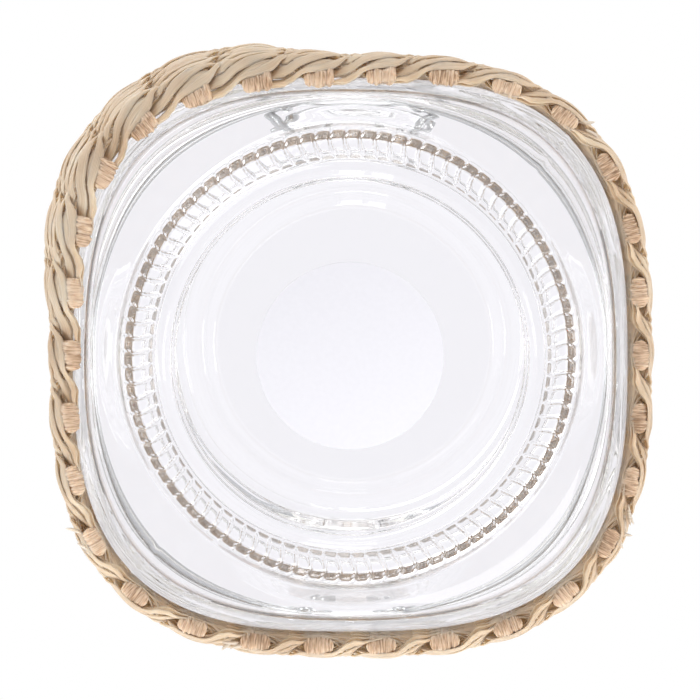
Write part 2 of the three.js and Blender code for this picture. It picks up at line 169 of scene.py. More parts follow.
# %% [markdown]
# ## The studio
# A product photograph of glass is made in a white tent, and the glass shows its edges only where it
# bends the view towards something darker than the tent. So the world is white to the camera, and what
# glass and steel see is the same white with a soft grey band near the horizon. Everything else gets an
# even light, at which a written colour renders about as written.

# %% World
EVEN_LIGHT = 0.86
world = bpy.data.worlds.new("white_tent")
scene.world = world
world.use_nodes = True
tent = world.node_tree
tent.nodes.clear()
ray = add(tent, "ShaderNodeLightPath")
towards = add(tent, "ShaderNodeTexCoord").outputs["Generated"]
height = add(tent, "ShaderNodeSeparateXYZ", {0: towards}).outputs["Z"]
share = add(tent, "ShaderNodeMapRange", {"Value": height, "From Min": -1.0, "From Max": 1.0})
band = add(tent, "ShaderNodeValToRGB", {0: share})
stops = band.color_ramp.elements
stops[0].position, stops[0].color = 0.0, linear("#FAF9FC")
stops[1].position, stops[1].color = 1.0, linear("#FAF9FE")
for position, colour in ((0.4, "#F4F3F7"), (0.47, "#CBCACC"), (0.53, "#CBCACC"), (0.6, "#F8F7FC")):
    stops.new(position).color = linear(colour)
seen_white = add(tent, "ShaderNodeBackground", {"Color": linear("#FFFFFF"), "Strength": 1.0})
seen_in_glass = add(tent, "ShaderNodeBackground", {"Color": band, "Strength": 1.0})
even = add(tent, "ShaderNodeBackground", {"Color": linear("#FFFFFF"), "Strength": EVEN_LIGHT})
bent = add(
    tent, MATH, {0: ray.outputs["Is Glossy Ray"], 1: ray.outputs["Is Transmission Ray"]}, operation="MAXIMUM"
)
lit = add(tent, "ShaderNodeMixShader", {0: bent, 1: even, 2: seen_in_glass})
whole = add(tent, "ShaderNodeMixShader", {0: ray.outputs["Is Camera Ray"], 1: lit, 2: seen_white})
add(tent, "ShaderNodeOutputWorld", {"Surface": whole})
print("world light", EVEN_LIGHT)

# %% [markdown]
# ## The floor and the lamps
# Seen from above, the jar stands on a pale floor that keeps its shadow and fades into the white tent.
# The photograph's camera is below that floor, so the floor's back is clear, and so is the floor for
# every ray that doesn't come straight from the camera: light from below then reaches the underside.
# A lamp above gives the shadow, and one below lights the underside from one corner. Four tall panels
# stand round the jar, level with its foot like the walls of the tent, and lift the sides of the weave.

# %% Floor
FLOOR_RADIUS, FLOOR_POINTS, FLOOR_Z = 3.0, 64, -0.0002
FADE_START, FADE_END = 0.18, 0.6  # metres from the middle


def new_finish(name):
    """An empty material and its node tree."""
    finish = bpy.data.materials.new(name)
    finish.use_nodes = True
    finish.node_tree.nodes.clear()
    return finish, finish.node_tree


turns = [2 * math.pi * i / FLOOR_POINTS for i in range(FLOOR_POINTS)]
rim = [Vector((FLOOR_RADIUS * math.cos(t), FLOOR_RADIUS * math.sin(t), FLOOR_Z)) for t in turns]
floor_mesh = bpy.data.meshes.new("floor")
floor_mesh.from_pydata(rim, [], [list(range(FLOOR_POINTS))])
floor = bpy.data.objects.new("floor", floor_mesh)
bpy.context.collection.objects.link(floor)

floor_look, tree = new_finish("pale_floor")  # a sheet of matt white board
ray = add(tree, "ShaderNodeLightPath")
spot = add(tree, "ShaderNodeNewGeometry")
front = add(tree, MATH, {0: 1.0, 1: spot.outputs["Backfacing"]}, operation="SUBTRACT")
shown_here = add(tree, MATH, {0: front, 1: ray.outputs["Is Camera Ray"]}, operation="MULTIPLY")
away = add(tree, VECTOR_MATH, {0: spot.outputs["Position"]}, operation="LENGTH").outputs["Value"]
fade = add(
    tree,
    "ShaderNodeMapRange",
    {"Value": away, "From Min": FADE_START, "From Max": FADE_END},
    interpolation_type="SMOOTHSTEP",
)
board = add(tree, "ShaderNodeBsdfDiffuse", {"Color": linear("#FAFAFA")})
glow = add(tree, "ShaderNodeEmission", {"Color": linear("#FFFFFF"), "Strength": 1.0})
surface = add(tree, "ShaderNodeMixShader", {0: fade, 1: board, 2: glow})
clear = add(tree, "ShaderNodeBsdfTransparent")
from_above = add(tree, "ShaderNodeMixShader", {0: shown_here, 1: clear, 2: surface})
add(tree, "ShaderNodeOutputMaterial", {0: from_above})
floor_mesh.materials.append(floor_look)
print("floor radius", FLOOR_RADIUS, "m")

# %% Lamps
LAMPS = {  # place, width and height of the lamp, watts
    "lamp_above": (Vector((-0.55, -0.65, 1.0)), 0.9, 0.9, 4.0),
    "lamp_below": (Vector((0.4, 0.6, -0.8)), 0.6, 0.6, 2.7),
    "panel_latch": (Vector((0.05, -0.8, -0.12)), 0.3, 0.6, 1.2),
    "panel_hinge": (Vector((-0.05, 0.8, -0.12)), 0.3, 0.6, 2.8),
    "panel_left": (Vector((-0.8, 0.1, -0.12)), 0.3, 0.6, 1.8),
    "panel_right": (Vector((0.8, 0.0, -0.12)), 0.3, 0.6, 2.2),
}
for name, (spot, wide, tall, watts) in LAMPS.items():
    lamp = bpy.data.lights.new(name, "AREA")
    lamp.shape = "RECTANGLE"
    lamp.size, lamp.size_y, lamp.energy = wide, tall, watts
    stand = bpy.data.objects.new(name, lamp)
    stand.location = spot
    stand.rotation_euler = spot.to_track_quat("Z", "Y").to_euler()
    stand.visible_camera = False
    bpy.context.collection.objects.link(stand)
print("lamps", list(LAMPS))

# %% [markdown]
# ## Glass
# Soda-lime glass, pressed in a mould: clear, smooth and all but free of tint. It is one shader with full
# transmission. Its sparkle comes from the shape of the glass, so the mesh has the knurls, the steps and
# the soft ripples, and the finish stays plain. Cycles finds no lamp through glass that bends light, so
# the weave behind it would be too dark. A ray that looks for a lamp therefore goes straight through, and
# loses only what a surface of real glass reflects.

# %% Clear pressed glass
clear_glass, tree = new_finish("pressed_soda_lime_glass")
body = add(
    tree,
    "ShaderNodeBsdfPrincipled",
    {"Base Color": linear("#FEFEFE"), "Roughness": 0.0, "IOR": 1.52, "Transmission Weight": 1.0},
)
to_lamp = add(tree, "ShaderNodeLightPath").outputs["Is Shadow Ray"]
lit_through = add(tree, "ShaderNodeBsdfTransparent", {"Color": linear("#FAFAFA")})  # 96% at each surface
either = add(tree, "ShaderNodeMixShader", {0: to_lamp, 1: body, 2: lit_through})
add(tree, "ShaderNodeOutputMaterial", {0: either})
print("finish", clear_glass.name)

# %% [markdown]
# ## The glass jar
# The jar is not round: its plan is a superellipse, a circle that has been squared, and only the neck
# and the base are true circles. It is made as a stack of rings of points, from the middle of the base
# outwards, up the wall, over the rim and down the inside to the floor. The rings of the knurled bead
# have sixteen points to each knurl, and the others a quarter of that.

# %% Sizes of the glass
BODY_HALF, BODY_SQUARENESS = 0.0625, 2.9
WALL_TOP, SHOULDER_TOP = 0.114, 0.133
GLASS_WALL = 0.003
PUSH_UP, FLOOR_TOP = 0.0015, 0.0086
STEP_RADIUS, STEP_DEPTH = 0.0396, 0.00012
KNURLS, KNURL_IN, KNURL_OUT, KNURL_DEPTH = 90, 0.0447, 0.0517, 0.0008
SEAM_RADIUS, SEAM_HEIGHT, HEEL_TOP = 0.0542, 0.0044, 0.014
NECK_RADIUS, MOUTH_RADIUS, MOUTH_TOP = 0.0465, 0.0415, 0.15
BEAD_BOTTOM, BEAD_TOP, BEAD_DEPTH = 0.14, 0.146, 0.0023
FINE, COARSE = 16 * KNURLS, 4 * KNURLS
RIPPLE, RIPPLE_LENGTH = 0.00045, 0.03  # swell of the glass that cooled against no mould
HALF_RIPPLE = 0.5 * RIPPLE  # where the mould held it
PARTING_TURNS = (math.radians(135), math.radians(-45))  # where the halves of the mould met
PARTING_RIDGE, PARTING_WIDTH = 0.00022, 0.012  # height in metres, width in radians


def mix(low, high, share):
    return low + (high - low) * share


def level(half, squareness, z, count=COARSE, ripple=0.0, ridge=0.0):
    """One ring of the glass, a superellipse at one height."""
    ring = []
    for i in range(count):
        turn = 2 * math.pi * i / count
        c, s = math.cos(turn), math.sin(turn)
        x = math.copysign(abs(c) ** (2 / squareness), c)
        y = math.copysign(abs(s) ** (2 / squareness), s)
        outward = Vector((x, y, 0))
        spot = half * outward + Vector((0, 0, z))
        swell = ripple * noise.noise(spot / RIPPLE_LENGTH)
        for parting in PARTING_TURNS:
            off = math.remainder(turn - parting, 2 * math.pi)
            swell += ridge * math.exp(-((off / PARTING_WIDTH) ** 2))
        ring.append(spot + swell * outward.normalized())
    return ring


print("points in a ring:", FINE, "in the bead and", COARSE, "elsewhere")

# %% Knurled ring
BEAD_LINE = (  # radius and height of the standing ring between two grooves, with a steep outer flank
    (0.0441, 0.0013), (0.0446, 0.00085), (0.0451, 0.00048), (0.0457, 0.0002), (0.0463, 0.00006),
    (0.047, 0.0), (0.0476, 0.0), (0.0482, 0.00003), (0.0485, 0.0001), (0.0487, 0.00028),
    (0.0493, 0.00132), (0.0499, 0.00236), (0.0505, 0.0034), (0.0509, 0.0041), (0.05115, 0.0044),
    (0.0516, 0.0045),
)
GROOVE_FLOOR = 0.0044  # a groove is cut no deeper into the flank than this height
GROOVE_START = 6  # a groove is at full depth after this part of the bead's width
GROOVE_HALF = 0.11  # in knurl spacings
PILLOW_RISE, PILLOW_SLOPE = 0.12, 2.6  # soft shoulders of a groove, as a share of its depth
KINK, KINK_SHARE = -0.38, 0.6  # sideways bend of a groove in knurl spacings, and where it is sharpest
KINK_BACK = 0.9  # share of the bend that is gone again at the outer edge


def knurled(radius, z):
    """One ring of the base's bead. Bent grooves part it into pillows."""
    share = min(max((radius - KNURL_IN) / (KNURL_OUT - KNURL_IN), 0), 1)
    depth = min(KNURL_DEPTH, max(GROOVE_FLOOR - z, 0)) * min(1, GROOVE_START * share)
    inner = math.sin(math.pi / 2 * share / KINK_SHARE)
    outer = 1 - KINK_BACK * (share - KINK_SHARE) / (1 - KINK_SHARE)
    bow = KINK * (inner if share < KINK_SHARE else outer)
    ring = []
    for i in range(FINE):
        turn = 2 * math.pi * i / FINE
        across = (i / FINE * KNURLS - bow) % 1 - 0.5  # 0 in the groove's middle
        groove = math.exp(-((across / GROOVE_HALF) ** 4))
        pillow = PILLOW_RISE * max(0, 1 - PILLOW_SLOPE * abs(across)) ** 2
        cut = depth * max(groove, pillow)
        ring.append(Vector((radius * math.cos(turn), radius * math.sin(turn), z + cut)))
    return ring


print("knurls", KNURLS)

# %% Stack the rings
HEEL_STEPS, WALL_STEPS, SHOULDER_STEPS = 18, 16, 16
BASE_LINE = (  # radius and height from the middle of the base to the bead, over one small step
    (0.012, PUSH_UP), (0.026, PUSH_UP), (0.036, PUSH_UP), (STEP_RADIUS - 0.0006, PUSH_UP),
    (STEP_RADIUS - 0.0002, PUSH_UP), (STEP_RADIUS, PUSH_UP - 0.3 * STEP_DEPTH),
    (STEP_RADIUS + 0.0002, PUSH_UP - STEP_DEPTH), (STEP_RADIUS + 0.0008, PUSH_UP - STEP_DEPTH),
    (0.042, PUSH_UP - STEP_DEPTH), (0.0434, PUSH_UP - STEP_DEPTH),
)
SEAM_LINE = ((0.0525, 0.00448), (0.0535, 0.00444))  # the flat between the bead and the heel
NECK_LINE = (  # up the neck, over its bead and the rim, and into the mouth
    (NECK_RADIUS, 0.1365), (NECK_RADIUS, BEAD_BOTTOM - 0.0003),
    (NECK_RADIUS + 0.0006, BEAD_BOTTOM + 0.0004), (NECK_RADIUS + 0.0017, BEAD_BOTTOM + 0.0014),
    (NECK_RADIUS + BEAD_DEPTH, BEAD_BOTTOM + 0.0025), (NECK_RADIUS + BEAD_DEPTH, BEAD_TOP - 0.0025),
    (NECK_RADIUS + 0.0017, BEAD_TOP - 0.0012), (NECK_RADIUS + 0.0006, BEAD_TOP - 0.0003),
    (NECK_RADIUS, BEAD_TOP + 0.0002), (NECK_RADIUS, MOUTH_TOP - 0.0012),
    (NECK_RADIUS - 0.0003, MOUTH_TOP - 0.0004), (NECK_RADIUS - 0.0011, MOUTH_TOP),
    (MOUTH_RADIUS + 0.0011, MOUTH_TOP), (MOUTH_RADIUS + 0.0003, MOUTH_TOP - 0.0004),
    (MOUTH_RADIUS, MOUTH_TOP - 0.0012), (MOUTH_RADIUS, 0.142),
)


def drawn_in(share):
    """How far the shoulder has drawn in at a share of its height."""
    return share * share * (3 - 2 * share)


rings = [[Vector((0, 0, PUSH_UP))]]
rings += [level(radius, 2, z) for radius, z in BASE_LINE]
rings += [knurled(radius, z) for radius, z in BEAD_LINE]
rings += [level(radius, 2, z) for radius, z in SEAM_LINE]
for step in range(HEEL_STEPS + 1):
    share = step / HEEL_STEPS
    half = mix(SEAM_RADIUS, BODY_HALF, math.sin(share * math.pi / 2))
    squareness = mix(2, BODY_SQUARENESS, share)
    z = mix(HEEL_TOP, SEAM_HEIGHT, math.cos(share * math.pi / 2))
    rings.append(level(half, squareness, z, ripple=HALF_RIPPLE * share, ridge=PARTING_RIDGE))
for step in range(1, WALL_STEPS):
    z = mix(HEEL_TOP, WALL_TOP, step / WALL_STEPS)
    rings.append(level(BODY_HALF, BODY_SQUARENESS, z, ripple=HALF_RIPPLE, ridge=PARTING_RIDGE))
for step in range(SHOULDER_STEPS + 1):
    share = step / SHOULDER_STEPS
    half = mix(BODY_HALF, NECK_RADIUS, drawn_in(share))
    rings.append(level(half, mix(BODY_SQUARENESS, 2, share), mix(WALL_TOP, SHOULDER_TOP, share)))
rings += [level(radius, 2, z) for radius, z in NECK_LINE]
print("rings of the outside", len(rings))

# %% Inside of the jar
# The plunger that pressed the glass was nearly square at its foot, so the inner corner is tight.
CORNER_STEPS, CORNER_WIDE, CORNER_TALL, CORNER_TOP = 14, 0.0022, 0.0036, 0.0115
CORNER_SQUARENESS = 2.55
FLOOR_EDGE = (  # half width, squareness and height
    (0.057, 2.46, 0.00772), (0.056, 2.3, 0.00742), (0.055, 2.13, 0.00716),
)
# Over the standing ring the floor dips into a shallow moat, as pressed glass of even thickness does.
FLOOR_LINE = (
    (0.0542, 0.007), (0.0532, 0.00702), (0.0525, 0.00698), (0.052, 0.00688), (0.0514, 0.00668),
    (0.0509, 0.0065), (0.0504, 0.0064), (0.0497, 0.00649), (0.048, 0.00692), (0.046, 0.00746),
    (0.044, 0.00799), (0.0425, 0.00836), (0.0412, 0.00855), (0.039, FLOOR_TOP), (0.033, FLOOR_TOP),
    (0.025, FLOOR_TOP), (0.017, FLOOR_TOP), (0.008, FLOOR_TOP),
)
FLOOR_SWELL = 0.00015
inner_half = BODY_HALF - GLASS_WALL
for step in range(SHOULDER_STEPS, -1, -1):
    share = step / SHOULDER_STEPS
    half = mix(inner_half, MOUTH_RADIUS, drawn_in(share))
    z = mix(WALL_TOP, SHOULDER_TOP, share)
    rings.append(level(half, mix(BODY_SQUARENESS, 2, share), z, ripple=RIPPLE * (1 - share)))
for step in range(WALL_STEPS - 1, -1, -1):
    z = mix(HEEL_TOP, WALL_TOP, step / WALL_STEPS)
    rings.append(level(inner_half, BODY_SQUARENESS, z, ripple=RIPPLE))
for step in range(CORNER_STEPS, 1, -1):
    turn = step / CORNER_STEPS * math.pi / 2
    half = inner_half - CORNER_WIDE * (1 - math.sin(turn))
    squareness = mix(CORNER_SQUARENESS, BODY_SQUARENESS, step / CORNER_STEPS)
    rings.append(level(half, squareness, CORNER_TOP - CORNER_TALL * math.cos(turn), ripple=HALF_RIPPLE))
rings += [level(half, squareness, z) for half, squareness, z in FLOOR_EDGE]
for radius, z in FLOOR_LINE:
    flat = level(radius, 2, z)
    rings.append([p + Vector((0, 0, FLOOR_SWELL * noise.noise(p / RIPPLE_LENGTH))) for p in flat])
rings.append([Vector((0, 0, FLOOR_TOP))])
place(solid_mesh("moulded_jar", *skin(rings)), clear_glass, "jar", "clear_glass", "glass_jar")

# %% [markdown]
# ## The glass lid
# The lid is round, so its outline is drawn once and spun. It has a plug that drops into the mouth, a
# flange that lies on the seal, a groove for the wire and a low crown.

# %% Lid
SPIN_STEPS = 180
LID_SEAT, LID_TOP = 0.1528, 0.1624
LID_RADIUS, LID_GROOVE = 0.0483, 0.0466
PLUG_RADIUS, PLUG_BOTTOM = 0.0402, 0.1482
LID_EDGE = 0.0009  # reach of its rounded corners
SIDE_PART = 2.2  # a rounded corner takes no more than this part of a side


def spun(outline, closed=False):
    """Turns an outline of radius and height about the jar's axis."""
    turns = [2 * math.pi * i / SPIN_STEPS for i in range(SPIN_STEPS)]
    circles = []
    for radius, z in outline:
        if radius == 0:
            circles.append([Vector((0, 0, z))])
        else:
            circles.append([Vector((radius * math.cos(t), radius * math.sin(t), z)) for t in turns])
    return skin(circles, closed)


def curve(start, corner, end, steps):
    """Points from start to end, drawn towards the corner between them."""
    shares = [k / steps for k in range(steps + 1)]
    return [(1 - t) ** 2 * start + 2 * t * (1 - t) * corner + t * t * end for t in shares]


def eased(outline, reach, closed=False, steps=4):
    """Rounds each corner of an outline over the given reach."""
    points = [Vector(p) for p in outline]
    smooth = []
    for i, corner in enumerate(points):
        if not closed and i in (0, len(points) - 1):
            smooth.append(tuple(corner))
            continue
        before = points[i - 1] - corner
        after = points[(i + 1) % len(points)] - corner
        start = corner + before.normalized() * min(reach, before.length / SIDE_PART)
        end = corner + after.normalized() * min(reach, after.length / SIDE_PART)
        smooth += [tuple(point) for point in curve(start, corner, end, steps)]
    return smooth


lid_outline = eased(
    [
        (0, LID_SEAT), (0.0332, LID_SEAT - 0.00115), (0.0367, PLUG_BOTTOM), (PLUG_RADIUS, PLUG_BOTTOM),
        (PLUG_RADIUS, LID_SEAT), (LID_RADIUS, LID_SEAT), (LID_RADIUS, LID_SEAT + 0.0014),
        (LID_GROOVE, LID_SEAT + 0.0014), (LID_GROOVE, 0.1573), (LID_RADIUS - 0.0007, 0.158),
        (LID_GROOVE - 0.0014, 0.16036), (LID_GROOVE / 2, LID_TOP - 0.00047), (0, LID_TOP),
    ],
    LID_EDGE,
)
place(solid_mesh("pressed_lid", *spun(lid_outline)), clear_glass, "lid", "clear_glass", "glass_lid")

# %% [markdown]
# ## The seal
# A flat ring of milky silicone lies between the mouth and the lid. It is moulded, so its edges are
# slightly round and its surface is a soft satin.

# %% Silicone seal
milky_silicone, tree = new_finish("moulded_milky_silicone")
where = add(tree, "ShaderNodeTexCoord").outputs["Object"]
cloud = add(tree, "ShaderNodeTexNoise", {"Vector": where, "Scale": 400.0, "Detail": 2.0})  # 2.5 mm clouds
shade = add(tree, "ShaderNodeValToRGB", {0: cloud})
shade.color_ramp.elements[0].color = linear("#E4E2DC")
shade.color_ramp.elements[1].color = linear("#F3F2EE")
body = add(
    tree,
    "ShaderNodeBsdfPrincipled",
    {"Base Color": shade, "Roughness": 0.42, "IOR": 1.41, "Subsurface Weight": 0.2},
)
body.inputs["Subsurface Radius"].default_value = (0.002, 0.002, 0.002)
add(tree, "ShaderNodeOutputMaterial", {0: body})

SEAL_IN, SEAL_OUT, SEAL_BOTTOM, SEAL_TOP = 0.04275, 0.04775, 0.1503, 0.1525
SEAL_EDGE = 0.0006
seal_corners = [(SEAL_IN, SEAL_BOTTOM), (SEAL_OUT, SEAL_BOTTOM), (SEAL_OUT, SEAL_TOP), (SEAL_IN, SEAL_TOP)]
seal_outline = eased(seal_corners, SEAL_EDGE, True)
place(solid_mesh("silicone_seal", *spun(seal_outline, True)), milky_silicone, "lid", "seal", "lid_gasket")

# %% [markdown]
# ## The wire fittings
# The neck ring, the lid's wire, the lever and the link are bent from one gauge of drawn stainless wire.
# Each is a path of points with rounded bends, and a round section is carried along it without twisting.
# Drawing leaves fine scratches along the wire, which blur its highlights a little.

# %% Drawn stainless wire
drawn_wire, tree = new_finish("drawn_stainless_wire")
where = add(tree, "ShaderNodeTexCoord").outputs["Object"]
scratch = add(tree, "ShaderNodeTexNoise", {"Vector": where, "Scale": 1500.0, "Detail": 3.0})  # 0.7 mm marks
blur = add(tree, "ShaderNodeMapRange", {"Value": scratch, "To Min": 0.16, "To Max": 0.34})
tone = add(tree, "ShaderNodeValToRGB", {0: scratch})
tone.color_ramp.elements[0].color = linear("#B9BCBE")
tone.color_ramp.elements[1].color = linear("#DADCDD")
mark = add(tree, "ShaderNodeBump", {"Height": scratch, "Strength": 0.08, "Distance": 0.0001})
body = add(
    tree,
    "ShaderNodeBsdfPrincipled",
    {"Base Color": tone, "Metallic": 1.0, "Roughness": blur.outputs[0], "Normal": mark},
)
add(tree, "ShaderNodeOutputMaterial", {0: body})
print("finish", drawn_wire.name)

# %% Bends and round wire
WIRE = 0.00125  # radius
WIRE_BEND, BEND_STEPS = 0.0024, 8
WIRE_SIDES, WIRE_TIP = 16, 0.4  # the cut end bulges by this share of the radius
EYE_RADIUS, EYE_STEPS = 0.0029, 40


def bent_path(corners):
    """A path through corners, each rounded over the reach of a bend."""
    path = [corners[0]]
    for before, corner, after in zip(corners, corners[1:], corners[2:]):
        reach = min(WIRE_BEND, (before - corner).length / 2, (after - corner).length / 2)
        start = corner + (before - corner).normalized() * reach
        end = corner + (after - corner).normalized() * reach
        path += curve(start, corner, end, BEND_STEPS)
    return path + [corners[-1]]


def round_wire(path, closed=False):
    """Rings and faces of a round wire along a path."""
    count = len(path)
    ahead = []
    for i in range(count):
        after = path[(i + 1) % count if closed else min(i + 1, count - 1)]
        before = path[i - 1 if closed else max(i - 1, 0)]
        ahead.append((after - before).normalized())
    side = ahead[0].orthogonal().normalized()
    turns = [2 * math.pi * k / WIRE_SIDES for k in range(WIRE_SIDES)]
    circles = []
    for i, centre in enumerate(path):
        if i:
            side = ahead[i - 1].rotation_difference(ahead[i]) @ side
        up = ahead[i].cross(side)
        circles.append([centre + WIRE * (math.cos(t) * side + math.sin(t) * up) for t in turns])
    if closed:
        return skin(circles, True)
    tips = [[path[0] - WIRE_TIP * WIRE * ahead[0]], [path[-1] + WIRE_TIP * WIRE * ahead[-1]]]
    return skin([tips[0]] + circles + [tips[1]])


def eye(x, pivot):
    """A closed eye of wire round a pin that lies along X."""
    turns = [2 * math.pi * i / EYE_STEPS for i in range(EYE_STEPS)]
    loop = [pivot + Vector((x, EYE_RADIUS * math.cos(t), EYE_RADIUS * math.sin(t))) for t in turns]
    return round_wire(loop, True)


def together(*parts):
    """Several skins as the vertices and faces of one mesh."""
    vertices, faces = [], []
    for points, corners in parts:
        faces += [[len(vertices) + i for i in face] for face in corners]
        vertices += points
    return vertices, faces


def both_sides(half):
    """A path from one side to its mirror image on the other."""
    return half + [Vector((-p.x, p.y, p.z)) for p in reversed(half)]


print("wire", 2000 * WIRE, "mm thick")

# %% Places of the fittings
HINGE_X, HINGE_ARM_X = 0.009, 0.00495
LATCH_X, LEVER_ARM_X, LINK_ARM_X = 0.014, 0.01805, 0.014
PIN_REACH = 0.00275
NECK_WIRE_RADIUS, NECK_WIRE_Z, NECK_STEPS = 0.04805, 0.13845, 160
LID_WIRE_RADIUS, LID_WIRE_Z, LID_ARC_STEPS = 0.04815, 0.15575, 64
pivots = {joint["name"]: Vector(joint["pos_m"]) for joint in frame["joints"]}
HINGE, LEVER, LINK = pivots["lid_hinge"], pivots["lever_pivot"], pivots["link_pivot"]
LEVER_END = Vector((LEVER_ARM_X, -0.06623, 0.11717))
LINK_TOP = Vector((LINK_ARM_X, -0.05845, 0.15815))
NOSE_HALF, NOSE_Y = 0.0065, -0.05515
print("pivots", {name: [round(value, 4) for value in spot] for name, spot in pivots.items()})

# %% Bend the fittings
turns = [2 * math.pi * i / NECK_STEPS for i in range(NECK_STEPS)]
neck_ring = [
    Vector((NECK_WIRE_RADIUS * math.cos(t), NECK_WIRE_RADIUS * math.sin(t), NECK_WIRE_Z)) for t in turns
]
neck_parts = [round_wire(neck_ring, True)]
neck_parts += [eye(sign * HINGE_X, HINGE) for sign in (1, -1)]
neck_parts += [eye(sign * LATCH_X, LEVER) for sign in (1, -1)]
place(solid_mesh("neck_ring_wire", *together(*neck_parts)), drawn_wire, "jar", "wire", "neck_wire")

back_turn = math.asin((HINGE_ARM_X + 2 * WIRE_BEND) / LID_WIRE_RADIUS)
front_turn = math.pi - math.asin((NOSE_HALF + WIRE_BEND) / LID_WIRE_RADIUS)
arc = [
    Vector((LID_WIRE_RADIUS * math.sin(t), LID_WIRE_RADIUS * math.cos(t), LID_WIRE_Z))
    for t in (mix(back_turn, front_turn, i / LID_ARC_STEPS) for i in range(LID_ARC_STEPS + 1))
]
back_run = bent_path([
    Vector((HINGE_X + PIN_REACH, HINGE.y, HINGE.z)), Vector((HINGE_ARM_X, HINGE.y, HINGE.z)),
    Vector((HINGE_ARM_X, HINGE.y, LID_WIRE_Z)), arc[0],
])
nose_run = bent_path([arc[-1], Vector((NOSE_HALF, NOSE_Y, LID_WIRE_Z)), Vector((0, NOSE_Y, LID_WIRE_Z))])
lid_path = both_sides(back_run + arc[1:-1] + nose_run[:-1])
place(solid_mesh("lid_loop_wire", *round_wire(lid_path)), drawn_wire, "lid", "wire", "lid_wire")

lever_path = bent_path(both_sides([
    Vector((LATCH_X - PIN_REACH, LEVER.y, LEVER.z)), Vector((LEVER_ARM_X, LEVER.y, LEVER.z)), LEVER_END,
]))
lever_parts = [round_wire(lever_path)] + [eye(sign * LEVER_ARM_X, LINK) for sign in (1, -1)]
place(solid_mesh("lever_wire", *together(*lever_parts)), drawn_wire, "lever", "wire", "latch_lever")

link_path = bent_path(both_sides([
    Vector((LEVER_ARM_X + PIN_REACH, LINK.y, LINK.z)), Vector((LINK_ARM_X, LINK.y, LINK.z)), LINK_TOP,
]))
place(solid_mesh("link_wire", *round_wire(link_path)), drawn_wire, "link", "wire", "latch_link")

# %% [markdown]
# ## The paper sticker
# A round white sticker lies in the pushed-up base. It is left blank. Coated paper is bright and almost
# smooth, with a faint mottle from its fibres.

# %% Blank sticker
coated_paper, tree = new_finish("coated_white_paper")
where = add(tree, "ShaderNodeTexCoord").outputs["Object"]
fibre = add(tree, "ShaderNodeTexNoise", {"Vector": where, "Scale": 900.0, "Detail": 4.0})  # 1.1 mm mottle
shade = add(tree, "ShaderNodeValToRGB", {0: fibre})
shade.color_ramp.elements[0].color = linear("#DFDEE4")
shade.color_ramp.elements[1].color = linear("#E5E4EA")
grain = add(tree, "ShaderNodeBump", {"Height": fibre, "Strength": 0.1, "Distance": 0.00005})
body = add(tree, "ShaderNodeBsdfPrincipled", {"Base Color": shade, "Roughness": 0.5, "Normal": grain})
add(tree, "ShaderNodeOutputMaterial", {0: body})

low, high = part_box("base_label")
sticker_outline = eased([(0, low[2]), (high[0], low[2]), (high[0], high[2]), (0, high[2])], 0.0001, steps=2)
place(solid_mesh("blank_sticker", *spun(sticker_outline)), coated_paper, "jar", "paper", "base_label")

# %% [markdown]
# ## Dry leaf
# The sleeve is dried flat leaf, straw-coloured, with fibres that run along each blade and small brown
# flecks. The strands' own map runs along the blade in the first direction and round it in the second,
# so the fibres are a noise that is long in one direction and fine in the other. The folded stakes dried
# a little pinker and their fibres show more, so the same recipe takes other colours and a shorter ramp.

# %% Leaf finish
FIBRES_ROUND = 46.0  # fibres in one turn round a blade, about half a millimetre each
FIBRE_ALONG = 0.55  # waves of a fibre's tone in the distance between two stakes
PATCH_SCALE, PATCH_SHARE = 70.0, 0.4  # patches of 14 mm, and their say in the tone
FLECK_SCALE, FLECK_FROM, FLECK_TO, FLECK_SHARE = 2.3, 0.7, 0.8, 0.55
FIBRE_DEPTH = 0.00025


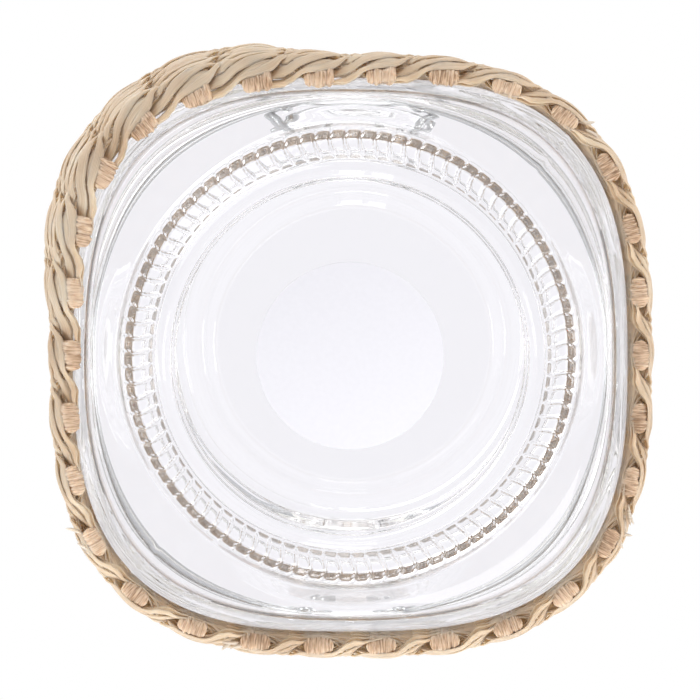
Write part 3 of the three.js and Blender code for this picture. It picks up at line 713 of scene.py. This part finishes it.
def dry_leaf(name, dark, middle, pale, fleck, dark_at=0.33, pale_at=0.68):
    """The finish of one kind of dry leaf, in three tones and the colour of its flecks."""
    finish, tree = new_finish(name)
    on_blade = add(tree, "ShaderNodeUVMap", uv_map="UVMap")
    stretched = add(
        tree, "ShaderNodeMapping", {"Vector": on_blade, "Scale": (FIBRE_ALONG, FIBRES_ROUND, 1.0)}
    )
    fibre = add(
        tree, "ShaderNodeTexNoise", {"Vector": stretched, "Scale": 1.0, "Detail": 3.0, "Roughness": 0.6}
    )
    where = add(tree, "ShaderNodeTexCoord").outputs["Object"]
    patch = add(tree, "ShaderNodeTexNoise", {"Vector": where, "Scale": PATCH_SCALE, "Detail": 2.0})
    patches = add(tree, MATH, {0: patch, 1: PATCH_SHARE}, operation="MULTIPLY")
    both = add(tree, MATH, {0: fibre, 1: 1.0 - PATCH_SHARE, 2: patches}, operation="MULTIPLY_ADD")
    tone = add(tree, "ShaderNodeValToRGB", {0: both})
    stops = tone.color_ramp.elements
    stops[0].position, stops[0].color = dark_at, linear(dark)
    stops[1].position, stops[1].color = pale_at, linear(pale)
    stops.new(0.5).color = linear(middle)
    speck = add(tree, "ShaderNodeTexNoise", {"Vector": stretched, "Scale": FLECK_SCALE, "Detail": 1.0})
    speckled = add(
        tree,
        "ShaderNodeMapRange",
        {"Value": speck, "From Min": FLECK_FROM, "From Max": FLECK_TO, "To Max": FLECK_SHARE},
    )
    colour = add(tree, "ShaderNodeMix", {0: speckled, 6: tone, 7: linear(fleck)}, data_type="RGBA")
    groove = add(tree, "ShaderNodeBump", {"Height": fibre, "Strength": 0.5, "Distance": FIBRE_DEPTH})
    blur = add(tree, "ShaderNodeMapRange", {"Value": fibre, "To Min": 0.72, "To Max": 0.5})
    body = add(
        tree,
        "ShaderNodeBsdfPrincipled",
        {
            "Base Color": colour.outputs[2],
            "Roughness": blur.outputs[0],
            "Normal": groove,
            "Specular IOR Level": 0.35,
            "Subsurface Weight": 0.7,
            "Subsurface Scale": 0.002,
            "Subsurface Radius": (1.0, 0.85, 0.65),
        },
    )
    add(tree, "ShaderNodeOutputMaterial", {0: body})
    return finish


# The strands are pale leaf, twined while it was damp. The stakes are leaf that was doubled over.
straw_leaf = dry_leaf("dried_straw_leaf", "#B0957B", "#D2B89E", "#E7D4BD", "#8A6C50")
tan_leaf = dry_leaf(
    "dried_tan_leaf", "#97795E", "#CBAF95", "#DFC9B1", "#7E6048", dark_at=0.4, pale_at=0.62
)
print("finishes", straw_leaf.name, tan_leaf.name)

# %% [markdown]
# ## The path of the weave
# The sleeve follows the glass wall. One closed curve on the wall's plan serves every row and every
# stake: the node trees read places and directions from it. In the photograph the sleeve stands off the
# glass at one corner, where the second to fourth rows show beyond the first, and its foot tucks under
# the heel on that side. A small shared tree gives the distance by which the sleeve leans out or tucks
# in at a place.

# %% Plan curve
OUTLINE_POINTS = 720
plan = bpy.data.curves.new("wall_plan", "CURVE")
plan.dimensions = "3D"
run = plan.splines.new("POLY")
run.points.add(OUTLINE_POINTS - 1)
for point, spot in zip(run.points, level(BODY_HALF, BODY_SQUARENESS, 0.0, OUTLINE_POINTS)):
    point.co = (*spot, 1.0)
run.use_cyclic_u = True
wall_plan = bpy.data.objects.new("wall_plan", plan)
bpy.context.collection.objects.link(wall_plan)
print("plan points", OUTLINE_POINTS)

# %% Lean of the sleeve
SOCKETS = {float: "NodeSocketFloat", int: "NodeSocketInt"}


def new_tree(name, **sizes):
    """A geometry tree with one named input for each size."""
    tree = bpy.data.node_groups.new(name, "GeometryNodeTree")
    for label, value in sizes.items():
        words = label.replace("_", " ")
        socket = tree.interface.new_socket(words, in_out="INPUT", socket_type=SOCKETS[type(value)])
        socket.default_value = value
    return tree


lean = new_tree(
    "sleeve_lean",
    lean_out=0.0045, corner_turn=math.radians(225), spread=0.72,
    lean_from=0.004, lean_full=0.0388, lean_ebbs=0.0504, lean_to=0.0968,
    tuck_in=0.0036, tuck_spread=-0.2, tuck_to=0.0125,
)
lean.interface.new_socket("spot", in_out="INPUT", socket_type="NodeSocketVector")
lean.interface.new_socket("height", in_out="INPUT", socket_type="NodeSocketFloat")
lean.interface.new_socket("distance", in_out="OUTPUT", socket_type="NodeSocketFloat")
given = add(lean, "NodeGroupInput").outputs
corner_x = add(lean, MATH, {0: given["corner turn"]}, operation="COSINE")
corner_y = add(lean, MATH, {0: given["corner turn"]}, operation="SINE")
corner = add(lean, "ShaderNodeCombineXYZ", {"X": corner_x, "Y": corner_y})
flat_spot = add(lean, VECTOR_MATH, {0: given["spot"], 1: (1.0, 1.0, 0.0)}, operation="MULTIPLY")
heading = add(lean, VECTOR_MATH, {0: flat_spot}, operation="NORMALIZE")
facing = add(lean, VECTOR_MATH, {0: heading, 1: corner}, operation="DOT_PRODUCT").outputs["Value"]
height = given["height"]
near = add(
    lean,
    "ShaderNodeMapRange",
    {"Value": facing, "From Min": given["spread"], "From Max": 1.0},
    interpolation_type="SMOOTHSTEP",
)
rising = {"Value": height, "From Min": given["lean from"], "From Max": given["lean full"]}
falling = {"Value": height, "From Min": given["lean to"], "From Max": given["lean ebbs"]}
amount = add(lean, MATH, {0: near, 1: add(lean, "ShaderNodeMapRange", rising)}, operation="MULTIPLY")
amount = add(lean, MATH, {0: amount, 1: add(lean, "ShaderNodeMapRange", falling)}, operation="MULTIPLY")
leaned = add(lean, MATH, {0: amount, 1: given["lean out"]}, operation="MULTIPLY")
under = add(
    lean,
    "ShaderNodeMapRange",
    {"Value": facing, "From Min": given["tuck spread"], "From Max": 1.0},
    interpolation_type="SMOOTHSTEP",
)
low_down = add(
    lean,
    "ShaderNodeMapRange",
    {"Value": height, "From Min": given["tuck to"], "From Max": given["lean from"]},
    interpolation_type="SMOOTHSTEP",
)
tucked = add(lean, MATH, {0: under, 1: low_down}, operation="MULTIPLY")
tucked = add(lean, MATH, {0: tucked, 1: given["tuck in"]}, operation="MULTIPLY")
distance = add(lean, MATH, {0: leaned, 1: tucked}, operation="SUBTRACT")
add(lean, "NodeGroupOutput", {"distance": distance})
print("nodes in the lean's tree", len(lean.nodes))

# %% [markdown]
# ## Twined strands
# Each row is two strands that wind round each other. A strand passes outside one stake and inside the
# next, and between them it crosses over or under its partner, so its middle line is a helix: a cosine
# gives the way out, and a sine the height. A real strand is a few blades laid together, so the tree
# sweeps five thin blades along the helix, each a grid that is bent to its place. At a stake the blades
# spread and stand upright, and at a crossing they are gathered and lean over. Noise at the place itself
# makes each one uneven, and meets itself where the loop closes.

# %% Tree of one strand
STAKES, ROWS = 30, 9
ROW_PITCH, FIRST_ROW = 0.0116, 0.0098
SLEEVE_MIDDLE = 0.0028  # out from the glass wall


def woven_tree(name, **sizes):
    """A tree that also takes the plan and the leaf, and gives geometry."""
    tree = new_tree(name, **sizes)
    tree.interface.new_socket("plan", in_out="INPUT", socket_type="NodeSocketObject")
    tree.interface.new_socket("leaf", in_out="INPUT", socket_type="NodeSocketMaterial")
    tree.interface.new_socket("Geometry", in_out="OUTPUT", socket_type="NodeSocketGeometry")
    return tree


strand = woven_tree(
    "twined_strand",
    stakes=STAKES, row_height=0.0, start_turn=0.0, seed=0.0, middle=SLEEVE_MIDDLE, reach=0.0017,
    bulge=0.0009, rise=0.0022, tilt=0.5, half_at_stake=0.0054, half_at_crossing=0.003,
    blade_thickness=0.0003, unevenness=0.0013, clear_of_glass=0.0004,
)
given = add(strand, "NodeGroupInput").outputs
plan_in = add(strand, "GeometryNodeObjectInfo", {"Object": given["plan"]}).outputs["Geometry"]
spot = add(strand, "ShaderNodeSeparateXYZ", {0: add(strand, "GeometryNodeInputPosition")})
along = add(strand, MATH, {0: spot.outputs["X"], 1: 0.5}, operation="ADD")
around = add(strand, MATH, {0: spot.outputs["Y"], 1: 0.5}, operation="ADD")
on_plan = add(
    strand, "GeometryNodeSampleCurve", {"Curves": plan_in, "Factor": along}, mode="FACTOR", use_all_curves=True
)
on_wall, tangent = on_plan.outputs["Position"], on_plan.outputs["Tangent"]
outward = add(strand, VECTOR_MATH, {0: tangent, 1: (0.0, 0.0, 1.0)}, operation="CROSS_PRODUCT")
half_turns = add(strand, MATH, {0: along, 1: given["stakes"]}, operation="MULTIPLY")
turn = add(strand, MATH, {0: half_turns, 1: math.pi, 2: given["start turn"]}, operation="MULTIPLY_ADD")
cosine = add(strand, MATH, {0: turn}, operation="COSINE")
sine = add(strand, MATH, {0: turn}, operation="SINE")
spread = add(strand, MATH, {0: cosine}, operation="ABSOLUTE")
half = add(
    strand,
    "ShaderNodeMapRange",
    {"Value": spread, "To Min": given["half at crossing"], "To Max": given["half at stake"]},
)
angle = add(strand, MATH, {0: around, 1: 2 * math.pi}, operation="MULTIPLY")
section_up = add(strand, MATH, {0: angle}, operation="SINE")
section_out = add(strand, MATH, {0: angle}, operation="COSINE")

# %% Turn and belly of the strand
# The blade's width stands upright at a stake and is tilted at a crossing, and turns quickly between.
power = sine
for _ in range(3):
    power = add(strand, MATH, {0: power, 1: power}, operation="MULTIPLY")
flat_way = add(strand, MATH, {0: power, 1: sine}, operation="MULTIPLY")
flat_way = add(strand, MATH, {0: flat_way, 1: given["tilt"]}, operation="MULTIPLY")
upright = add(strand, MATH, {0: flat_way, 1: flat_way}, operation="MULTIPLY")
upright = add(strand, MATH, {0: 1.0, 1: upright}, operation="SUBTRACT")
upright = add(strand, MATH, {0: upright, 1: 0.5}, operation="POWER")
# It is hollow like a gutter. Its belly faces out at one stake, and is shallow at the next.
BELLY_MEAN, BELLY_SWING = 0.6, 0.4
flattened = add(strand, MATH, {0: cosine, 1: math.pi / 2}, operation="MULTIPLY")
flattened = add(strand, MATH, {0: flattened}, operation="SINE")
belly = add(strand, MATH, {0: flattened, 1: BELLY_SWING, 2: BELLY_MEAN}, operation="MULTIPLY_ADD")
belly = add(strand, MATH, {0: belly, 1: given["bulge"]}, operation="MULTIPLY")
stacked = add(strand, "ShaderNodeMapRange", {"Value": spread, "To Min": 0.001, "To Max": 0.0002})
looseness = add(strand, "ShaderNodeMapRange", {"Value": spread, "To Min": 0.35, "To Max": 1.0})
looseness = add(strand, MATH, {0: looseness, 1: given["unevenness"]}, operation="MULTIPLY")

# %% Blades of the strand
BLADES, BLADE_STEPS, BLADE_ROUND = 5, 14, 9  # blades, and points between two stakes and round a blade
LANE_REACH = 0.78  # lane of the outermost blades, in half widths of the strand
BLADE_HALF, BLADE_VARIES = 0.27, 0.6  # half width of a blade, and how much noise changes it
CURL = 0.0016
WAVES = 75.0  # a blade wanders in waves of 13 mm
NOISE_APART, BLADE_MAP_APART = 0.05, 7.3  # so that no two blades look alike
blades = add(strand, "GeometryNodeJoinGeometry")
for blade in range(BLADES):
    lane = 2 * blade / (BLADES - 1) - 1  # -1 to 1 across the strand
    where = add(strand, VECTOR_MATH, {0: on_wall, 1: (0.0, 0.0, NOISE_APART * blade)}, operation="ADD")
    uneven = add(
        strand,
        "ShaderNodeTexNoise",
        {"Vector": where, "W": given["seed"], "Scale": WAVES, "Detail": 2.0, "Roughness": 0.6},
        noise_dimensions="4D",
    ).outputs["Color"]
    uneven = add(strand, VECTOR_MATH, {0: uneven, 1: (0.5, 0.5, 0.5)}, operation="SUBTRACT")
    wander = add(strand, "ShaderNodeSeparateXYZ", {0: uneven}).outputs
    # Across the blade: its lane in the strand, its own width, and some wander.
    width = add(strand, MATH, {0: wander["X"], 1: BLADE_VARIES, 2: BLADE_HALF}, operation="MULTIPLY_ADD")
    wide = add(strand, MATH, {0: section_up, 1: width, 2: LANE_REACH * lane}, operation="MULTIPLY_ADD")
    off_middle = add(strand, MATH, {0: wide, 1: wide}, operation="MULTIPLY")
    hollow = add(strand, MATH, {0: off_middle, 1: -1.0, 2: 1.0}, operation="MULTIPLY_ADD")
    wide = add(strand, MATH, {0: wide, 1: half}, operation="MULTIPLY")
    wide = add(strand, MATH, {0: wander["Y"], 1: looseness, 2: wide}, operation="MULTIPLY_ADD")
    # Through the blade: its thickness, its place over or under its neighbours, a curl, and some wander.
    deep = add(strand, MATH, {0: section_out, 1: given["blade thickness"]}, operation="MULTIPLY")
    deep = add(strand, MATH, {0: stacked, 1: (-1.0) ** blade, 2: deep}, operation="MULTIPLY_ADD")
    edge = add(strand, MATH, {0: section_up, 1: section_up}, operation="MULTIPLY")
    curl = add(strand, MATH, {0: wander["X"], 1: CURL}, operation="MULTIPLY")
    deep = add(strand, MATH, {0: edge, 1: curl, 2: deep}, operation="MULTIPLY_ADD")
    deep = add(strand, MATH, {0: wander["Z"], 1: looseness, 2: deep}, operation="MULTIPLY_ADD")
    deep = add(strand, MATH, {0: hollow, 1: belly, 2: deep}, operation="MULTIPLY_ADD")
    # Height and way out of the blade's point, from the helix and the turned section.
    up = add(strand, MATH, {0: sine, 1: given["rise"], 2: given["row height"]}, operation="MULTIPLY_ADD")
    up = add(strand, MATH, {0: wide, 1: upright, 2: up}, operation="MULTIPLY_ADD")
    up = add(strand, MATH, {0: deep, 1: flat_way, 2: up}, operation="MULTIPLY_ADD")
    out = add(strand, MATH, {0: cosine, 1: given["reach"], 2: given["middle"]}, operation="MULTIPLY_ADD")
    out = add(strand, MATH, {0: deep, 1: upright, 2: out}, operation="MULTIPLY_ADD")
    inwards = add(strand, MATH, {0: wide, 1: flat_way}, operation="MULTIPLY")
    out = add(strand, MATH, {0: out, 1: inwards}, operation="SUBTRACT")
    out = add(strand, MATH, {0: out, 1: given["clear of glass"]}, operation="MAXIMUM")
    leaning = add(strand, "GeometryNodeGroup", node_tree=lean)
    strand.links.new(on_wall, leaning.inputs["spot"])
    strand.links.new(up.outputs[0], leaning.inputs["height"])
    out = add(strand, MATH, {0: out, 1: leaning}, operation="ADD")
    sideways = add(strand, VECTOR_MATH, {0: outward, "Scale": out}, operation="SCALE")
    lifted = add(strand, "ShaderNodeCombineXYZ", {"Z": up})
    there = add(strand, VECTOR_MATH, {0: on_wall, 1: sideways}, operation="ADD")
    there = add(strand, VECTOR_MATH, {0: there, 1: lifted}, operation="ADD")
    grid = add(
        strand,
        "GeometryNodeMeshGrid",
        {"Size X": 1.0, "Size Y": 1.0, "Vertices X": BLADE_STEPS * STAKES + 1, "Vertices Y": BLADE_ROUND},
    ).outputs["Mesh"]
    map_round = add(strand, MATH, {0: around, 1: BLADE_MAP_APART * blade}, operation="ADD")
    on_blade = add(strand, "ShaderNodeCombineXYZ", {"X": half_turns, "Y": map_round})
    mapped = add(
        strand,
        "GeometryNodeStoreNamedAttribute",
        {"Geometry": grid, "Name": "UVMap", "Value": on_blade},
        data_type="FLOAT2",
        domain="CORNER",
    )
    bent_grid = add(strand, "GeometryNodeSetPosition", {"Geometry": mapped, "Position": there})
    closed = add(strand, "GeometryNodeMergeByDistance", {"Geometry": bent_grid, "Distance": 1e-6})
    strand.links.new(closed.outputs[0], blades.inputs[0])
real = add(strand, "GeometryNodeRealizeInstances", {"Geometry": blades})
smooth = add(strand, "GeometryNodeSetShadeSmooth", {"Geometry": real})
dressed = add(strand, "GeometryNodeSetMaterial", {"Geometry": smooth, "Material": given["leaf"]})
add(strand, "NodeGroupOutput", {0: dressed})
print("nodes in a strand's tree", len(strand.nodes))

# %% Grow the strands
SEED_OF_ROW, SEED_OF_STRAND = 3.7, 1.9


def grown(name, tree, **sizes):
    """Runs a tree with the given inputs and gives its result as a plain mesh."""
    holder = bpy.data.objects.new(name, bpy.data.meshes.new(name + "_start"))
    bpy.context.collection.objects.link(holder)
    modifier = holder.modifiers.new("grow", "NODES")
    modifier.node_group = tree
    for socket in tree.interface.items_tree:
        label = socket.name.replace(" ", "_")
        if socket.in_out == "INPUT" and label in sizes:
            modifier[socket.identifier] = sizes[label]
    bpy.context.view_layer.update()
    mesh = bpy.data.meshes.new_from_object(holder.evaluated_get(bpy.context.evaluated_depsgraph_get()))
    holder.modifiers.remove(modifier)
    bpy.data.objects.remove(holder)
    mesh.name = name
    face_outwards(mesh)
    return mesh


for row in range(ROWS):
    for letter, half_turn in (("a", 0), ("b", 1)):
        name = f"twined_row_{row + 1:02d}_{letter}"
        mesh = grown(
            name,
            strand,
            row_height=FIRST_ROW + row * ROW_PITCH,
            start_turn=math.pi * ((row + half_turn) % 2),
            seed=SEED_OF_ROW * row + SEED_OF_STRAND * half_turn,
            plan=wall_plan,
            leaf=straw_leaf,
        )
        place(mesh, straw_leaf, "jar", "weft_leaf", f"weft_{row + 1:02d}_{letter}")

# %% [markdown]
# ## Stakes
# The stakes are leaves that were doubled over, so the foot of each is a fold: seen from below it is a
# small barrel with creases across it. One stake is a grid that runs down the inside, round the fold and
# up the outside. Copies of it stand at even places along the plan, each with its own crease pattern,
# and lean out with the rows.

# %% Tree of the stakes
ACROSS, ROUND_FOLD = 29, 61  # points across a leaf, and along it from top to top
FOLD_SHARE, TOP_SHARE = 0.4, 0.985  # the fold takes the middle of the run, and the ends close the top
SIDE_POWER = 5.0  # how square the leaf's edges are
CREASES, CREASE_GAIN = 5.5, 6.0
CREASE_APART, STAKE_MAP_APART = 97.0, 61.0  # so that no two stakes look alike
MAP_ALONG, MAP_ACROSS = 4.0, 0.25
stake = woven_tree(
    "folded_stakes",
    stakes=STAKES, middle=SLEEVE_MIDDLE, half_width=0.0034, half_thickness=0.0018, foot=0.0029, top=0.1079,
    crease_depth=0.00028, seed=5.0,
)
given = add(stake, "NodeGroupInput").outputs
plan_in = add(stake, "GeometryNodeObjectInfo", {"Object": given["plan"]}).outputs["Geometry"]
line = add(
    stake,
    "GeometryNodeMeshLine",
    {"Count": given["stakes"], "Start Location": (0.0, 0.0, 0.0), "Offset": (0.0, 0.0, 0.0)},
)
number = add(stake, "GeometryNodeInputIndex")
factor = add(stake, MATH, {0: number, 1: given["stakes"]}, operation="DIVIDE")
numbered = add(
    stake,
    "GeometryNodeStoreNamedAttribute",
    {"Geometry": line, "Name": "share", "Value": factor},
    data_type="FLOAT",
    domain="POINT",
)
grid = add(
    stake,
    "GeometryNodeMeshGrid",
    {"Size X": 1.0, "Size Y": 1.0, "Vertices X": ACROSS, "Vertices Y": ROUND_FOLD},
).outputs["Mesh"]
copies = add(stake, "GeometryNodeInstanceOnPoints", {"Points": numbered, "Instance": grid})
real = add(stake, "GeometryNodeRealizeInstances", {"Geometry": copies})
share = add(stake, "GeometryNodeInputNamedAttribute", {"Name": "share"}, data_type="FLOAT").outputs["Attribute"]
on_plan = add(
    stake, "GeometryNodeSampleCurve", {"Curves": plan_in, "Factor": share}, mode="FACTOR", use_all_curves=True
)
on_wall, tangent = on_plan.outputs["Position"], on_plan.outputs["Tangent"]
outward = add(stake, VECTOR_MATH, {0: tangent, 1: (0.0, 0.0, 1.0)}, operation="CROSS_PRODUCT")
spot = add(stake, "ShaderNodeSeparateXYZ", {0: add(stake, "GeometryNodeInputPosition")})
across = add(stake, MATH, {0: spot.outputs["X"], 1: 2.0}, operation="MULTIPLY")  # -1 to 1
down_up = add(stake, MATH, {0: spot.outputs["Y"], 1: 2.0}, operation="MULTIPLY")  # -1 inside, 1 outside

# %% Fold of the stakes
side = add(stake, MATH, {0: across}, operation="ABSOLUTE")
side = add(stake, MATH, {0: side, 1: SIDE_POWER}, operation="POWER")
lens_shape = add(stake, MATH, {0: 1.0, 1: side}, operation="SUBTRACT")
lens_shape = add(stake, MATH, {0: lens_shape}, operation="SQRT")
thick = add(stake, MATH, {0: lens_shape, 1: given["half thickness"]}, operation="MULTIPLY")
quarter = math.pi / 2
bend = add(
    stake,
    "ShaderNodeMapRange",
    {"Value": down_up, "From Min": -FOLD_SHARE, "From Max": FOLD_SHARE, "To Min": -quarter, "To Max": quarter},
)
bend_sine = add(stake, MATH, {0: bend}, operation="SINE")
bend_cosine = add(stake, MATH, {0: bend}, operation="COSINE")
from_fold = add(stake, MATH, {0: down_up}, operation="ABSOLUTE")
below_top = add(stake, MATH, {0: from_fold, 1: TOP_SHARE}, operation="LESS_THAN")
out = add(stake, MATH, {0: bend_sine, 1: thick}, operation="MULTIPLY")
out = add(stake, MATH, {0: out, 1: below_top}, operation="MULTIPLY")
fold_down = add(stake, MATH, {0: 1.0, 1: bend_cosine}, operation="SUBTRACT")
fold_height = add(stake, MATH, {0: fold_down, 1: thick, 2: given["foot"]}, operation="MULTIPLY_ADD")
rise = add(
    stake, "ShaderNodeMapRange", {"Value": from_fold, "From Min": FOLD_SHARE, "From Max": TOP_SHARE}
)
gap = add(stake, MATH, {0: given["top"], 1: fold_height}, operation="SUBTRACT")
high = add(stake, MATH, {0: rise, 1: gap, 2: fold_height}, operation="MULTIPLY_ADD")
# Creases run along the leaf, so at the fold they cross the barrel.
crease_row = add(stake, MATH, {0: share, 1: CREASE_APART}, operation="MULTIPLY")
crease_at = add(stake, "ShaderNodeCombineXYZ", {"X": across, "Y": crease_row})
crease = add(
    stake,
    "ShaderNodeTexNoise",
    {"Vector": crease_at, "W": given["seed"], "Scale": CREASES, "Detail": 3.0},
    noise_dimensions="4D",
)
deep = add(stake, MATH, {0: crease, 1: 0.5}, operation="SUBTRACT")
deep = add(stake, MATH, {0: deep, 1: given["crease depth"]}, operation="MULTIPLY")
deep = add(stake, MATH, {0: deep, 1: CREASE_GAIN}, operation="MULTIPLY")
deep = add(stake, MATH, {0: deep, 1: lens_shape}, operation="MULTIPLY")
out = add(stake, MATH, {0: bend_sine, 1: deep, 2: out}, operation="MULTIPLY_ADD")
shallow = add(stake, MATH, {0: deep, 1: -1.0}, operation="MULTIPLY")
high = add(stake, MATH, {0: bend_cosine, 1: shallow, 2: high}, operation="MULTIPLY_ADD")

# %% Stand the stakes
leaning = add(stake, "GeometryNodeGroup", node_tree=lean)
stake.links.new(on_wall, leaning.inputs["spot"])
stake.links.new(high.outputs[0], leaning.inputs["height"])
out = add(stake, MATH, {0: out, 1: given["middle"]}, operation="ADD")
out = add(stake, MATH, {0: out, 1: leaning}, operation="ADD")
wide = add(stake, MATH, {0: across, 1: given["half width"]}, operation="MULTIPLY")
sideways = add(stake, VECTOR_MATH, {0: outward, "Scale": out}, operation="SCALE")
lengthways = add(stake, VECTOR_MATH, {0: tangent, "Scale": wide}, operation="SCALE")
lifted = add(stake, "ShaderNodeCombineXYZ", {"Z": high})
there = add(stake, VECTOR_MATH, {0: on_wall, 1: sideways}, operation="ADD")
there = add(stake, VECTOR_MATH, {0: there, 1: lengthways}, operation="ADD")
there = add(stake, VECTOR_MATH, {0: there, 1: lifted}, operation="ADD")
map_along = add(stake, MATH, {0: down_up, 1: MAP_ALONG}, operation="MULTIPLY")
map_across = add(stake, MATH, {0: share, 1: STAKE_MAP_APART}, operation="MULTIPLY")
map_across = add(stake, MATH, {0: across, 1: MAP_ACROSS, 2: map_across}, operation="MULTIPLY_ADD")
on_leaf = add(stake, "ShaderNodeCombineXYZ", {"X": map_along, "Y": map_across})
mapped = add(
    stake,
    "GeometryNodeStoreNamedAttribute",
    {"Geometry": real, "Name": "UVMap", "Value": on_leaf},
    data_type="FLOAT2",
    domain="CORNER",
)
folded = add(stake, "GeometryNodeSetPosition", {"Geometry": mapped, "Position": there})
closed = add(stake, "GeometryNodeMergeByDistance", {"Geometry": folded, "Distance": 2e-6})
smooth = add(stake, "GeometryNodeSetShadeSmooth", {"Geometry": closed})
final = add(stake, "GeometryNodeRealizeInstances", {"Geometry": smooth})
dressed = add(stake, "GeometryNodeSetMaterial", {"Geometry": final, "Material": given["leaf"]})
add(stake, "NodeGroupOutput", {0: dressed})
print("nodes in the stakes' tree", len(stake.nodes))

# %% Grow the stakes
stake_names = [f"stake_{number + 1:02d}" for number in range(STAKES)]
stake_mesh = grown("folded_stakes", stake, plan=wall_plan, leaf=tan_leaf)
place(stake_mesh, tan_leaf, "jar", "stake_leaf", *stake_names)

# %% [markdown]
# ## Loose fibres
# Hand twining leaves ends that stick out of the rim, where one leaf ran out and the next was laid in.
# Each is a short sliver that tapers to a point and curls. They start inside the lowest row, so that they
# look held by it.

# %% Slivers at the rim
SLIVERS = (  # turn round the jar in degrees, height, length, lean along the rim, curl
    (28, 0.0062, 0.0050, 0.9, 0.0010), (29, 0.0070, 0.0042, 0.4, -0.0008),
    (30, 0.0056, 0.0046, 1.2, 0.0008), (33, 0.0060, 0.0046, 0.8, 0.0010),
    (34, 0.0066, 0.0040, -0.5, -0.0008), (314, 0.0064, 0.0044, 0.9, 0.0008),
    (316, 0.0074, 0.0038, 1.2, -0.0006), (146, 0.0060, 0.0046, 1.0, 0.0008),
    (143, 0.0068, 0.0040, 0.6, -0.0008), (109, 0.0058, 0.0048, 1.3, 0.0008),
    (111, 0.0064, 0.0042, 1.0, -0.0006), (112, 0.0070, 0.0038, 0.5, 0.0006),
)
SLIVER_HALF_WIDTH, SLIVER_THICKNESS, SLIVER_STEPS = 0.00042, 0.00012, 10
SLIVER_ROOT = 0.0035  # out from the glass wall
SLIVER_OUT, SLIVER_DROP = 0.55, -0.25  # way out and down, beside its lean along the rim
MAP_METRES = (0.0146, 0.02)  # size of one unit of the leaf's map
slivers = []
for turn_degrees, z, length, aslant, curl in SLIVERS:
    turn = math.radians(turn_degrees)
    c, s = math.cos(turn), math.sin(turn)
    wall = BODY_HALF / (abs(c) ** BODY_SQUARENESS + abs(s) ** BODY_SQUARENESS) ** (1 / BODY_SQUARENESS)
    outward = Vector((c, s, 0))
    along = Vector((-s, c, 0))
    start = outward * (wall + SLIVER_ROOT) + Vector((0, 0, z))
    way = (outward * SLIVER_OUT + along * aslant + Vector((0, 0, SLIVER_DROP))).normalized()
    flat = way.cross(Vector((0, 0, 1))).normalized()
    up = flat.cross(way)
    sections = [[start]]
    for step in range(1, SLIVER_STEPS):
        t = step / SLIVER_STEPS
        middle = start + way * (length * t) + flat * (curl * t * t) + up * (curl * math.sin(3 * t))
        wide = SLIVER_HALF_WIDTH * math.sin(math.pi * t) ** 0.5
        thick = SLIVER_THICKNESS * (1 - 0.6 * t)
        sections.append([middle + flat * wide, middle + up * thick, middle - flat * wide, middle - up * thick])
    sections.append([start + way * length + flat * curl + up * (curl * math.sin(3))])
    slivers.append(skin(sections))
sliver_mesh = solid_mesh("loose_fibres", *together(*slivers))
sliver_map = sliver_mesh.uv_layers.new(name="UVMap")
for corner in sliver_mesh.loops:
    spot = sliver_mesh.vertices[corner.vertex_index].co
    sliver_map.data[corner.index].uv = (spot.x / MAP_METRES[0], spot.y / MAP_METRES[1])
place(sliver_mesh, straw_leaf, "jar", "weft_leaf")

# %% [markdown]
# ## Tidy up
# The plan curve was only a guide, so it goes.

# %% Finish
bpy.data.objects.remove(wall_plan)
